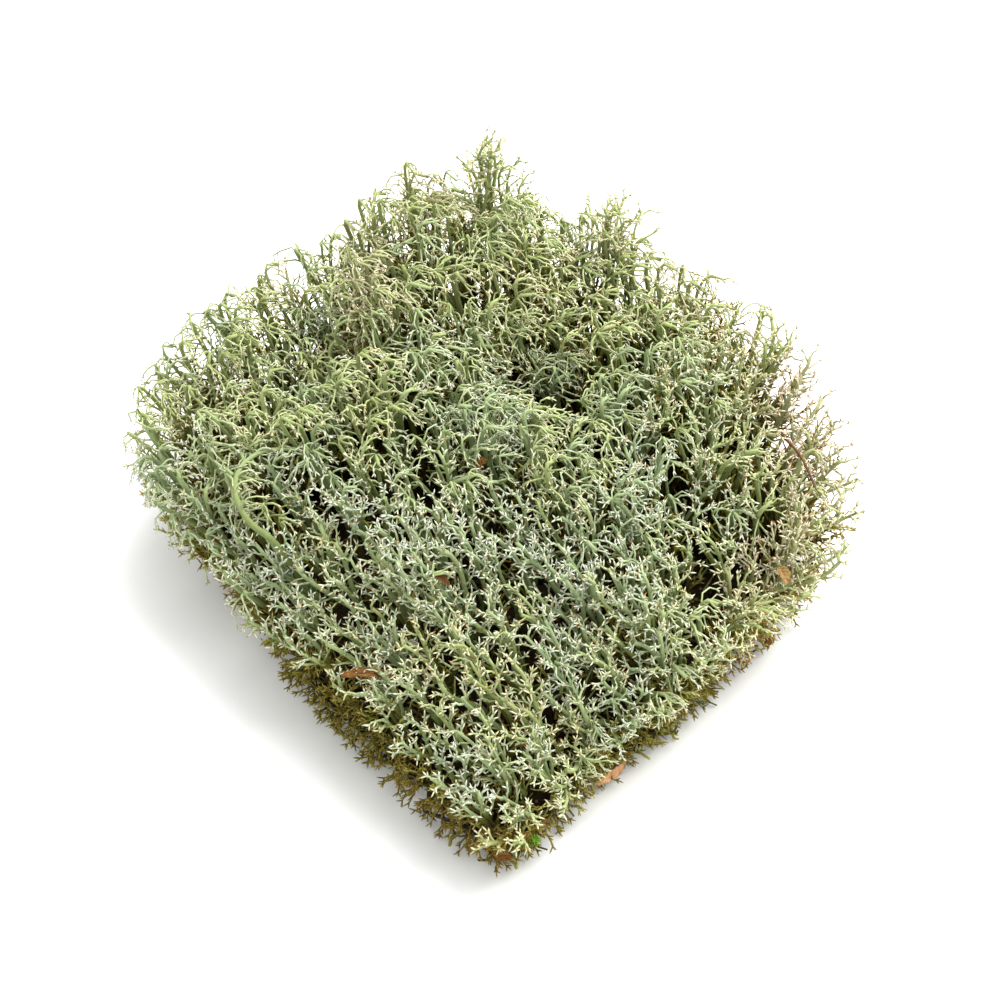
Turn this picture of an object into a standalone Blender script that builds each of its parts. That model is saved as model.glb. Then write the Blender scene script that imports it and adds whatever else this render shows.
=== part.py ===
"""A picked clump of reindeer lichen, cut off flat where it grew, in metres with +Z up.

The clump is a square cushion seen corner-on: its four corners point along +X, -X, +Y and -Y. Tufts of
branching stems stand side by side on a mat of matted dead stem bases, and scraps of forest litter are
caught on them. Each tuft is one solid whose crown reaches the tips of its stems. The origin is the
middle of the mat's flat underside.
"""

import math
import random

import bmesh
import bpy
from mathutils import Matrix, Vector
from mathutils.bvhtree import BVHTree

# Driving dimensions
HALF_WIDTH = 0.0685  # from the middle of the mat to its left and right corners
FRONT_DEPTH = 0.0725  # from the middle to the pointed front corner
BACK_DEPTH = 0.069  # from the middle to the rounded back
FRONT_POWER = 1.07  # superellipse power: 1 gives straight sides and 2 an ellipse
BACK_POWER = 2.3
WORN_CORNER = (-70, 13, 0.11)  # right of the front corner: direction, spread in degrees, share worn away
CROWN_HEIGHT = 0.048  # top of the tufts at the middle of the clump
MAT_THICKNESS = 0.006
GAP = 0.0004  # air between neighbouring pieces

# How the clump's top falls away and how its stems fan out and lean
RIM_DROP = 0.30  # share of the crown height lost at the rim
RIM_DROP_POWER = 3.0
BACK_RISE = 0.30  # share gained at the back, and lost at the front corner
FAN_PER_METRE = 4.0  # sideways spread of the whole clump for each metre of height
LEAN_PER_METRE = (-0.055, 0.07)

# The tufts stand in loops that follow the mat's outline: share of the outline, number of tufts
LOOPS = ((0.87, 20), (0.62, 14), (0.37, 9), (0.13, 4))
BOUNDING_LOOP = (1.13, 26)  # empty places that keep the outermost tufts from spreading
TUFT_SIDES = 12
SCATTER = 0.0020  # how far a tuft strays from its place in the loop
HEIGHT_SCATTER = 0.0028
LARGEST_RADIUS = 0.0140
SEED = 11

# A tuft's outline from root to top: share of its height, share of its cell's radius
TUFT_PROFILE = ((0.0, 0.74), (0.26, 0.88), (0.54, 0.98), (0.80, 1.0), (0.92, 0.88), (0.985, 0.56))
TALL_PROFILE = (
    (0.0, 0.70),
    (0.25, 0.84),
    (0.48, 0.98),
    (0.64, 0.92),
    (0.73, 0.62),
    (0.82, 0.48),
    (0.93, 0.42),
    (0.985, 0.22),
)

# Dips in the clump's top, and one rise with a depth below zero: x, y, radius and depth
HOLLOWS = (
    (0.012, 0.030, 0.012, 0.019),
    (-0.036, 0.026, 0.009, 0.009),
    (0.044, -0.006, 0.010, 0.010),
    (0.014, -0.040, 0.008, 0.006),
    (-0.012, 0.056, 0.016, -0.011),
)

# Tufts that stand above the rest: name, place and height; each stands in for the nearest usual tuft
TALL_TUFTS = (
    ("tall_tuft_back", Vector((0.0015, 0.0595)), 0.068),
    ("tall_tuft_back_right", Vector((0.0235, 0.0550)), 0.057),
)

# Litter caught on the tufts: name, middle, length, width, turn about Z and tilt in degrees, finish
FLAKES = (
    ("leaf_flake_left", (-0.029, -0.041, 0.046), 0.0115, 0.0026, 8, 10, "dead_leaf"),
    ("leaf_flake_front", (-0.012, -0.023, 0.060), 0.0046, 0.0018, -35, 5, "dead_leaf"),
    ("leaf_flake_middle", (-0.004, 0.005, 0.065), 0.0036, 0.0022, 60, 0, "dead_leaf"),
    ("ochre_leaf_flake", (0.0610, -0.0110, 0.050), 0.0042, 0.0026, -50, 20, "ochre_leaf"),
)
FLAKE_THICKNESS = 0.0004

# Litter that leans against the foot of the clump: name, middle, length, width, turn, finish
FOOT_SCALES = (
    ("bark_scale", (0.040, -0.062, 0.0040), 0.0085, 0.0030, 44, "bark"),
    ("bud_scale", (0.075, -0.024, 0.0040), 0.0036, 0.0022, 48, "dead_leaf"),
    ("rust_flake", (0.000, -0.095, 0.0110), 0.0040, 0.0026, 6, "dead_leaf"),
)

# Rods of litter and one loose arching stem: points along the middle of each
NEEDLE = ((0.0610, 0.0215, 0.056), (0.0650, 0.0135, 0.0575), (0.0680, 0.0050, 0.056))
ROTTEN_TWIG = ((-0.0200, -0.0780, 0.0085), (-0.0150, -0.0800, 0.0075), (-0.0090, -0.0820, 0.0060))
MOSS_SPRIG = ((0.0045, -0.0930, 0.0075), (0.0065, -0.0935, 0.0100), (0.0075, -0.0950, 0.0130))
CURLED_STEM = (
    (-0.0490, -0.0110, 0.056),
    (-0.0560, -0.0060, 0.060),
    (-0.0580, 0.0020, 0.062),
    (-0.0540, 0.0090, 0.062),
    (-0.0470, 0.0120, 0.060),
)
DOWN = Vector((0, 0, -1))
TO_FRONT_WALL = Vector((0, 1, 0))

COLOURS = {
    "lichen": (0.40, 0.46, 0.30),
    "dead_stems": (0.13, 0.10, 0.05),
    "dead_leaf": (0.22, 0.09, 0.03),
    "ochre_leaf": (0.42, 0.27, 0.10),
    "bark": (0.45, 0.27, 0.14),
    "pine_needle": (0.20, 0.08, 0.035),
    "rotten_wood": (0.06, 0.04, 0.02),
    "green_moss": (0.14, 0.32, 0.03),
}


def material(name):
    """A matt dry surface of one colour."""
    made = bpy.data.materials.get(name) or bpy.data.materials.new(name)
    made.use_nodes = True
    shader = made.node_tree.nodes["Principled BSDF"]
    shader.inputs["Base Color"].default_value = (*COLOURS[name], 1.0)
    shader.inputs["Roughness"].default_value = 0.9
    shader.inputs["Metallic"].default_value = 0.0
    return made


def add_object(name, mesh, finish):
    """Puts a bmesh in the scene as one named object with one material, facing outwards."""
    bmesh.ops.recalc_face_normals(mesh, faces=mesh.faces)
    data = bpy.data.meshes.new(name)
    mesh.to_mesh(data)
    mesh.free()
    data.shade_smooth()
    data.set_sharp_from_angle(angle=math.radians(50))
    data.materials.append(material(finish))
    made = bpy.data.objects.new(name, data)
    bpy.context.scene.collection.objects.link(made)
    return made


def fan(point):
    """Spreads a point sideways in proportion to its height, so upright walls stay flat but lean out."""
    spread = 1 + FAN_PER_METRE * point.z
    lean_x, lean_y = LEAN_PER_METRE
    return Vector((point.x * spread + lean_x * point.z, point.y * spread + lean_y * point.z, point.z))


def rim_share(place):
    """How far out a place in plan is: 0 in the middle of the clump and 1 on the mat's outline."""
    power, depth = (BACK_POWER, BACK_DEPTH) if place.y > 0 else (FRONT_POWER, FRONT_DEPTH)
    share = (abs(place.x / HALF_WIDTH) ** power + abs(place.y / depth) ** power) ** (1 / power)
    direction, spread, loss = WORN_CORNER
    off = (math.degrees(math.atan2(place.y, place.x)) - direction) / spread
    return share / (1 - loss * math.exp(-off * off))


def top_height(place):
    """Height of the clump's top over a place in plan."""
    share = 1 - RIM_DROP * rim_share(place) ** RIM_DROP_POWER + BACK_RISE * place.y / BACK_DEPTH
    height = CROWN_HEIGHT * share
    for x, y, radius, depth in HOLLOWS:
        away = (place - Vector((x, y))).length / radius
        height -= depth * math.exp(-away * away)
    return height


def loop_places(share, count, chance):
    """Places spread evenly along a smaller or larger copy of the mat's outline, each strayed a little."""
    steps = 720
    path = []
    for step in range(steps + 1):
        angle = math.tau * step / steps - math.pi / 2
        out = Vector((math.cos(angle), math.sin(angle)))
        path.append(out * share / rim_share(out))
    walked = [0.0]
    for start, end in zip(path, path[1:]):
        walked.append(walked[-1] + (end - start).length)
    places = []
    for i in range(count):
        wanted = walked[-1] * i / count
        nearest = min(range(steps), key=lambda step: abs(walked[step] - wanted))
        angle = chance.uniform(0, math.tau)
        stray = SCATTER * chance.random()
        places.append(path[nearest] + stray * Vector((math.cos(angle), math.sin(angle))))
    return places


def tuft_places():
    """Places for the tufts, then the empty places around them."""
    chance = random.Random(SEED)
    inside = [place for share, count in LOOPS for place in loop_places(share, count, chance)]
    return inside, loop_places(*BOUNDING_LOOP, chance)


def cell_radius(place, others, angle):
    """Distance from a tuft's middle to the gap half-way to its nearest neighbour in one direction."""
    direction = Vector((math.cos(angle), math.sin(angle)))
    radius = LARGEST_RADIUS
    for other in others:
        apart = other - place
        towards = direction.dot(apart.normalized())
        if towards > 0:
            radius = min(radius, (apart.length / 2 - GAP) / towards)
    return radius


def tuft_mesh(place, others, height, profile, lumpiness):
    """A pear-shaped solid: rings of its cell's outline, narrow at the root and full in the crown."""
    root = MAT_THICKNESS + GAP
    angles = [math.tau * side / TUFT_SIDES for side in range(TUFT_SIDES)]
    radii = [cell_radius(place, others, angle) for angle in angles]
    mesh = bmesh.new()
    rings = []
    for rise, width in profile:
        ring = []
        for angle, radius in zip(angles, radii):
            lump = 1 - lumpiness * (0.5 + 0.5 * math.cos(5 * angle + 9 * rise))
            reach = width * radius * (lump if rise > 0 else 1)
            out = Vector((math.cos(angle), math.sin(angle))) * reach
            point = Vector((place.x + out.x, place.y + out.y, root + rise * (height - root)))
            ring.append(mesh.verts.new(fan(point)))
        rings.append(ring)
    for lower, upper in zip(rings, rings[1:]):
        for side in range(TUFT_SIDES):
            after = (side + 1) % TUFT_SIDES
            mesh.faces.new((lower[side], lower[after], upper[after], upper[side]))
    apex = mesh.verts.new(fan(Vector((place.x, place.y, height))))
    for side in range(TUFT_SIDES):
        mesh.faces.new((rings[-1][side], rings[-1][(side + 1) % TUFT_SIDES], apex))
    mesh.faces.new(tuple(reversed(rings[0])))
    return mesh


def build_tufts():
    """Every tuft of the cushion, numbered from front to back, with the tall ones named apart."""
    chance = random.Random(SEED + 1)
    inside, outside = tuft_places()
    inside.sort(key=lambda place: (round(place.y, 3), place.x))
    tall = {}
    for name, spot, height in TALL_TUFTS:
        nearest = min(range(len(inside)), key=lambda i: (inside[i] - spot).length)
        inside[nearest] = spot
        tall[nearest] = (name, height, TALL_PROFILE)
    number = 0
    for i, place in enumerate(inside):
        others = [other for other in inside + outside if other is not place]
        height = top_height(place) + HEIGHT_SCATTER * chance.uniform(-1, 1)
        lumpiness = chance.uniform(0.03, 0.10)
        if i in tall:
            name, height, profile = tall[i]
        else:
            number += 1
            name, profile = f"tuft_{number:02d}", TUFT_PROFILE
        add_object(name, tuft_mesh(place, others, height, profile, lumpiness), "lichen")


def build_mat():
    """The mat of dead stem bases: a flat-bottomed slab with a wavy, rounded edge."""
    sides = 48
    mesh = bmesh.new()
    bottom = []
    for side in range(sides):
        angle = math.tau * side / sides
        out = Vector((math.cos(angle), math.sin(angle)))
        wave = 1 + 0.010 * math.cos(7 * angle + 2) + 0.008 * math.cos(11 * angle + 1)
        reach = wave / rim_share(out)
        bottom.append(mesh.verts.new((out.x * reach, out.y * reach, 0)))
    face = mesh.faces.new(bottom)
    raised = bmesh.ops.extrude_face_region(mesh, geom=[face])["geom"]
    lifted = [part for part in raised if isinstance(part, bmesh.types.BMVert)]
    bmesh.ops.translate(mesh, verts=lifted, vec=(0, 0, MAT_THICKNESS))
    made = add_object("dead_base_mat", mesh, "dead_stems")
    edge = made.modifiers.new("rounded_edge", "BEVEL")
    edge.width = 0.0015
    edge.segments = 2
    edge.limit_method = "ANGLE"
    edge.angle_limit = math.radians(50)


def flake_mesh(length, width, place):
    """A thin pointed scrap, cupped along its length, lying along X before it is placed."""
    steps = 6
    mesh = bmesh.new()
    sections = []
    for step in range(steps + 1):
        along = step / steps
        half = 0.5 * width * math.sin(math.pi * (0.10 + 0.82 * along)) ** 0.8
        bow = -0.10 * length * (2 * along - 1) ** 2
        section = []
        for across, lift in ((-1, 0.12), (0, 0), (1, 0.12), (1, 0.12), (0, 0), (-1, 0.12)):
            under = FLAKE_THICKNESS if len(section) > 2 else 0
            spot = Vector((length * (along - 0.5), across * half, bow + lift * width - under))
            section.append(mesh.verts.new(place @ spot))
        sections.append(section)
    for near, far in zip(sections, sections[1:]):
        for i in range(6):
            after = (i + 1) % 6
            mesh.faces.new((near[i], near[after], far[after], far[i]))
    for end in (sections[0], sections[-1]):
        for left in (0, 1):
            mesh.faces.new((end[left], end[left + 1], end[4 - left], end[5 - left]))
    return mesh


def rod_mesh(points, radii, steps=8, sides=6):
    """A tapering rod along a smooth curve through the points."""
    mesh = bmesh.new()
    knots = [Vector(point) for point in points]
    rings = []
    for step in range(steps + 1):
        along = step / steps * (len(knots) - 1)
        i = min(int(along), len(knots) - 2)
        share = along - i
        before = knots[max(i - 1, 0)]
        after = knots[min(i + 2, len(knots) - 1)]
        start, end = knots[i], knots[i + 1]
        leave, arrive = (end - before) / 2, (after - start) / 2
        a, b, c = 2 * start - 2 * end + leave + arrive, -3 * start + 3 * end - 2 * leave - arrive, leave
        middle = ((a * share + b) * share + c) * share + start
        heading = ((3 * a * share + 2 * b) * share + c).normalized()
        side = heading.cross(Vector((0, 0, 1))).normalized()
        upright = side.cross(heading)
        radius = radii[0] + (radii[1] - radii[0]) * step / steps
        turns = [math.tau * k / sides for k in range(sides)]
        ring = [middle + radius * (math.cos(t) * side + math.sin(t) * upright) for t in turns]
        rings.append([mesh.verts.new(spot) for spot in ring])
    for near, far in zip(rings, rings[1:]):
        for i in range(sides):
            after = (i + 1) % sides
            mesh.faces.new((near[i], near[after], far[after], far[i]))
    mesh.faces.new(rings[0])
    mesh.faces.new(rings[-1])
    return mesh


def tree_of(objects):
    """One search tree over the faces of several objects, and a list of their vertices."""
    points, faces = [], []
    for piece in objects:
        start = len(points)
        points += [vertex.co.copy() for vertex in piece.data.vertices]
        faces += [[start + i for i in face.vertices] for face in piece.data.polygons]
    return BVHTree.FromPolygons(points, faces), points


def settle(piece, direction, standing):
    """Moves a piece one way until it lies just clear of the pieces already standing there."""
    ground, ground_points = tree_of(standing)
    own, own_points = tree_of([piece])
    distances = [ground.ray_cast(point, direction)[3] for point in own_points]
    distances += [own.ray_cast(point, -direction)[3] for point in ground_points]
    reach = min(distance for distance in distances if distance is not None)
    piece.data.transform(Matrix.Translation(direction * (reach - GAP)))


def build_litter():
    """The scraps of leaf, bark, needle, twig and moss, and the one stem that arches clear of its tuft."""
    standing = list(bpy.data.objects)
    for name, middle, length, width, turn, tilt, finish in FLAKES:
        place = Matrix.Translation(middle)
        place @= Matrix.Rotation(math.radians(turn), 4, "Z") @ Matrix.Rotation(math.radians(tilt), 4, "Y")
        settle(add_object(name, flake_mesh(length, width, place), finish), DOWN, standing)
    for name, middle, length, width, turn, finish in FOOT_SCALES:
        place = Matrix.Translation(middle)
        place @= Matrix.Rotation(math.radians(turn), 4, "Z") @ Matrix.Rotation(math.radians(78), 4, "X")
        inwards = Matrix.Rotation(math.radians(turn), 3, "Z") @ TO_FRONT_WALL
        settle(add_object(name, flake_mesh(length, width, place), finish), inwards, standing)
    settle(add_object("pine_needle", rod_mesh(NEEDLE, (0.0005, 0.0003)), "pine_needle"), DOWN, standing)
    curled = add_object("curled_stem", rod_mesh(CURLED_STEM, (0.0010, 0.0006), 12), "lichen")
    settle(curled, DOWN, standing)
    twig = add_object("rotten_twig", rod_mesh(ROTTEN_TWIG, (0.0009, 0.0005)), "rotten_wood")
    settle(twig, TO_FRONT_WALL, standing)
    moss = add_object("moss_sprig", rod_mesh(MOSS_SPRIG, (0.0012, 0.0006)), "green_moss")
    settle(moss, TO_FRONT_WALL, standing)


def centre_on_origin():
    """Slides the whole clump sideways until the middle of its bounding box is over the origin."""
    bpy.context.view_layer.update()
    corners = []
    for piece in bpy.data.objects:
        corners += [Vector(corner) for corner in piece.bound_box]
    middle_x = (min(c.x for c in corners) + max(c.x for c in corners)) / 2
    middle_y = (min(c.y for c in corners) + max(c.y for c in corners)) / 2
    for piece in bpy.data.objects:
        piece.data.transform(Matrix.Translation((-middle_x, -middle_y, 0)))


def clear_scene():
    """Removes everything that a new file starts with."""
    for old in list(bpy.data.objects):
        bpy.data.objects.remove(old)


def main():
    clear_scene()
    build_mat()
    build_tufts()
    build_litter()
    centre_on_origin()


main()
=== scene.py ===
"""A dry clump of reindeer lichen: every tuft grown stem by stem inside its CAD solid.

Lengths are in metres. The clump rests on its cut face at z = 0, with its pointed corner towards -Y.
"""

import logging  # noqa: E402
import math  # noqa: E402
from dataclasses import dataclass, fields  # noqa: E402
from enum import Enum  # noqa: E402
from typing import Any, Optional  # noqa: E402

import bpy  # noqa: E402
import numpy as np  # noqa: E402
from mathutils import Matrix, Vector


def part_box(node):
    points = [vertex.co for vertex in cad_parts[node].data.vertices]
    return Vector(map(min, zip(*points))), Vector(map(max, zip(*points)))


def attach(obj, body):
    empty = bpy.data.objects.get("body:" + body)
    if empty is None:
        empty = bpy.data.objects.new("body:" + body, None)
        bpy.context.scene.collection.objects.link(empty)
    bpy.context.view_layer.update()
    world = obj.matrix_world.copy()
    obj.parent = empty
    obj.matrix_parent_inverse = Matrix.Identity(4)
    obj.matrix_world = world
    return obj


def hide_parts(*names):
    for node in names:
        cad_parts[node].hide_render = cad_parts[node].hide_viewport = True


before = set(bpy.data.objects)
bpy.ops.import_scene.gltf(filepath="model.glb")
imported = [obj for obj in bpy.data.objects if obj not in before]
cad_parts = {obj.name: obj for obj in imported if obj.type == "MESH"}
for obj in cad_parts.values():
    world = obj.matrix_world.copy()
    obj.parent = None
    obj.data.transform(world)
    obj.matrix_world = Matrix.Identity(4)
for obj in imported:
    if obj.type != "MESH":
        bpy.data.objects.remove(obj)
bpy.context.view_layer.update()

MM = 0.001
LOG = logging.getLogger("lichen")
GOLDEN_ANGLE = 2.4
CROWN, WALL, BENEATH = 0, 1, 2
UP = np.array([0.0, 0.0, 1.0])
Array = np.ndarray
Stops = tuple[tuple[float, str], ...]
Table = tuple[tuple[float, float], ...]


# ---------------------------------------------------------------------------------------------
# Small vector helpers, each on whole arrays
# ---------------------------------------------------------------------------------------------


def unit(vectors: Array) -> Array:
    """Scales every vector along the last axis to length 1."""
    length = np.linalg.norm(vectors, axis=-1, keepdims=True)
    return vectors / np.maximum(length, 1e-12)


def dots(a: Array, b: Array) -> Array:
    """The dot product along the last axis."""
    return np.einsum("...i,...i->...", a, b)


def smoothstep(low: float, high: float, value: Array) -> Array:
    """0 below low, 1 above high, and 3t^2 - 2t^3 between them."""
    t = np.clip((value - low) / (high - low), 0.0, 1.0)
    return t * t * (3.0 - 2.0 * t)


def across(vectors: Array) -> Array:
    """A unit vector at right angles to each given one: its cross product with the farther of Z and X."""
    steep = np.abs(vectors[..., 2:3]) > 0.8
    helper = np.where(steep, np.array([1.0, 0.0, 0.0]), UP)
    return unit(np.cross(vectors, helper))


def tilted(direction: Array, angle: Array, turn: Array) -> Array:
    """Swings unit vectors away from themselves.

    Each becomes cos(angle) of itself plus sin(angle) of the side direction that stands at the
    given turn around it.

    Args:
        direction: unit vectors, (n, 3).
        angle: radians away from each, (n,).
        turn: radians around each, (n,).

    Returns:
        The swung unit vectors, (n, 3).
    """
    side = across(direction)
    other = np.cross(direction, side)
    out = np.cos(turn)[:, None] * side + np.sin(turn)[:, None] * other
    return unit(np.cos(angle)[:, None] * direction + np.sin(angle)[:, None] * out)


def bezier(start: Array, leave: Array, arrive: Array, end: Array, points: int) -> Array:
    """Cubic curves with four control points each: (1-t)^3 A + 3t(1-t)^2 B + 3t^2(1-t) C + t^3 D.

    Args:
        start: first control points, (n, 3).
        leave: second control points, (n, 3).
        arrive: third control points, (n, 3).
        end: last control points, (n, 3).
        points: how many points to put along each curve.

    Returns:
        The points, (n, points, 3).
    """
    t = np.linspace(0.0, 1.0, points)[None, :, None]
    a, b, c, d = (control[:, None, :] for control in (start, leave, arrive, end))
    s = 1.0 - t
    return s**3 * a + 3 * t * s**2 * b + 3 * t**2 * s * c + t**3 * d


def even(steps: int) -> Array:
    """Shares from 0 to 1 at even steps, as one row."""
    return np.linspace(0, 1, steps)[None]


def compass(turn: Array) -> Array:
    """Unit vectors that lie flat and point in given directions in plan, (n, 3)."""
    return np.stack([np.cos(turn), np.sin(turn), np.zeros(len(turn))], axis=1)


def along(values: Array, share: Array) -> Array:
    """Reads values held at even steps, (n, k, ...), at a share of the way along each row, (n, ...)."""
    steps = values.shape[1] - 1
    place = np.clip(share, 0.0, 1.0) * steps
    low = np.minimum(place.astype(int), steps - 1)
    rest = place - low
    rows = np.arange(len(values))
    rest = rest.reshape(rest.shape + (1,) * (values.ndim - 2))
    return values[rows, low] * (1 - rest) + values[rows, low + 1] * rest


# ---------------------------------------------------------------------------------------------
# Meshes
# ---------------------------------------------------------------------------------------------


@dataclass
class Shell:
    """Points and faces of one closed surface, with what each point carries for the finish."""

    points: Array
    faces: list[Array]
    age: Array
    life: Array
    tint: Array
    around: Array

    @staticmethod
    def joined(shells: list["Shell"]) -> "Shell":
        """Puts several shells into one, shifting the face numbers of each past those before it."""
        faces: list[Array] = []
        start = 0
        for shell in shells:
            faces += [block + start for block in shell.faces]
            start += len(shell.points)
        columns = [
            np.concatenate([getattr(shell, name) for shell in shells])
            for name in ("points", "age", "life", "tint", "around")
        ]
        return Shell(columns[0], faces, *columns[1:])

    def triangles(self) -> int:
        """How many triangles the faces make."""
        return sum(len(block) * (block.shape[1] - 2) for block in self.faces)


def ring_quads(rows: int, sides: int, first: int = 0) -> Array:
    """Four-sided faces between neighbouring rings of points.

    Args:
        rows: how many rings there are.
        sides: points in each ring.
        first: the number of the first ring's first point; the others follow ring by ring.

    Returns:
        Point numbers, (rows - 1, sides, 4).
    """
    near = np.arange(sides)
    far = (near + 1) % sides
    step = first + np.arange(rows - 1)[:, None] * sides
    return np.stack([step + near, step + far, step + sides + far, step + sides + near], axis=-1)


def make_piece(name: str, shell: Shell, material: bpy.types.Material) -> bpy.types.Object:
    """Makes a mesh object at the origin from a shell.

    Args:
        name: the piece's name.
        shell: its points and faces, and what its points carry.
        material: its finish.

    Returns:
        The object, riding on the clump's only body.
    """
    mesh = bpy.data.meshes.new(name)
    loops = np.concatenate([block.ravel() for block in shell.faces]).astype(np.int32)
    sizes = np.concatenate([np.full(len(block), block.shape[1]) for block in shell.faces])
    starts = np.concatenate([[0], np.cumsum(sizes)[:-1]]).astype(np.int32)
    mesh.vertices.add(len(shell.points))
    mesh.vertices.foreach_set("co", shell.points.astype(np.float32).ravel())
    mesh.loops.add(len(loops))
    mesh.loops.foreach_set("vertex_index", loops)
    mesh.polygons.add(len(sizes))
    mesh.polygons.foreach_set("loop_start", starts)
    mesh.polygons.foreach_set("use_smooth", np.ones(len(sizes), bool))
    for title in ("age", "life", "tint"):
        layer = mesh.attributes.new(title, "FLOAT", "POINT")
        layer.data.foreach_set("value", getattr(shell, title).astype(np.float32))
    chart = mesh.uv_layers.new(name="OFBake")
    v = 0.03 + 0.80 * shell.life + 0.12 * shell.around
    uv = np.stack([0.02 + 0.96 * shell.age, v], axis=1)[loops]
    chart.data.foreach_set("uv", uv.astype(np.float32).ravel())
    mesh.update(calc_edges=True)
    mesh.validate()
    mesh.materials.append(material)
    piece = bpy.data.objects.new(name, mesh)
    bpy.context.scene.collection.objects.link(piece)
    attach(piece, "root")
    return piece


@dataclass
class Branches:
    """Many branches of one order: points along each, and what they carry there."""

    path: Array
    radius: Array
    age: Array
    life: Array
    tint: Array

    @property
    def count(self) -> int:
        """How many branches there are."""
        return len(self.path)

    def heading(self) -> Array:
        """Unit tangents: each point's difference from its neighbours along the branch."""
        return unit(np.gradient(self.path, axis=1))

    def at(self, rows: Array, share: Array) -> tuple[Array, Array]:
        """Places on the branches of given numbers, at a share of the way along, and the headings there."""
        return along(self.path[rows], share), unit(along(self.heading()[rows], share))

    def frames(self) -> tuple[Array, Array]:
        """Two unit vectors square to the heading T at each point: N = B x T, and B.

        B is one direction square to the whole curve, tipped to stand square to T.
        """
        tangent = self.heading()
        chord = unit(self.path[:, -1] - self.path[:, 0])
        bow = self.path[:, self.path.shape[1] // 2] - self.path[:, 0]
        bow = bow - dots(bow, chord)[:, None] * chord
        straight = np.linalg.norm(bow, axis=1) < 1e-6
        binormal = np.where(straight[:, None], across(chord), np.cross(chord, unit(bow)))
        square = unit(binormal)[:, None, :]
        square = unit(square - dots(square, tangent)[..., None] * tangent)
        return np.cross(square, tangent), square

    def tubes(self, sides: int, pointed: bool = False) -> Shell:
        """Closed tubes of a given number of sides around the branches.

        A ring of points stands around each point of the path, at the branch's radius, in the plane
        of the frame there. Each tube starts in a flat face and ends in another, or in one point.

        Args:
            sides: points in each ring.
            pointed: whether the last point of each path is the tube's own tip.

        Returns:
            One shell that holds all the tubes.
        """
        n, k, _ = self.path.shape
        normal, square = self.frames()
        turn = np.arange(sides) * math.tau / sides
        ring = (
            np.cos(turn)[None, None, :, None] * normal[:, :, None, :]
            + np.sin(turn)[None, None, :, None] * square[:, :, None, :]
        )
        rings = self.path[:, :, None, :] + self.radius[:, :, None, None] * ring
        rows = k - 1 if pointed else k
        points = rings[:, :rows].reshape(n, rows * sides, 3)
        carried = [np.repeat(values[:, :rows], sides, axis=1) for values in (self.age, self.life)]
        if pointed:
            points = np.concatenate([points, self.path[:, -1:]], axis=1)
            ends = (self.age[:, -1:], self.life[:, -1:])
            carried = [np.concatenate(pair, axis=1) for pair in zip(carried, ends)]
        per = points.shape[1]
        first = np.arange(n)[:, None] * per
        near = np.arange(sides)
        far = (near + 1) % sides
        quads = (first[..., None, None] + ring_quads(rows, sides)[None]).reshape(-1, 4)
        last = (rows - 1) * sides
        if pointed:
            cone = np.stack([last + near, last + far, np.full(sides, per - 1)], axis=-1)
            closing = (first[..., None] + cone[None]).reshape(-1, 3)
        else:
            closing = first + last + near
        swell = np.resize(0.5 - 0.5 * np.cos(turn), per)
        faces = [quads, closing, first + near[::-1]]
        age, life = (values.ravel() for values in carried)
        return Shell(points.reshape(-1, 3), faces, age, life, np.repeat(self.tint, per), np.tile(swell, n))


# ---------------------------------------------------------------------------------------------
# Finishes
# ---------------------------------------------------------------------------------------------


def linear(code: str) -> tuple[float, float, float, float]:
    """Turns an sRGB hex value into linear red, green, blue and alpha 1."""
    parts = [int(code[i : i + 2], 16) / 255 for i in (1, 3, 5)]
    r, g, b = (p / 12.92 if p <= 0.04045 else ((p + 0.055) / 1.055) ** 2.4 for p in parts)
    return (r, g, b, 1.0)


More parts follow.
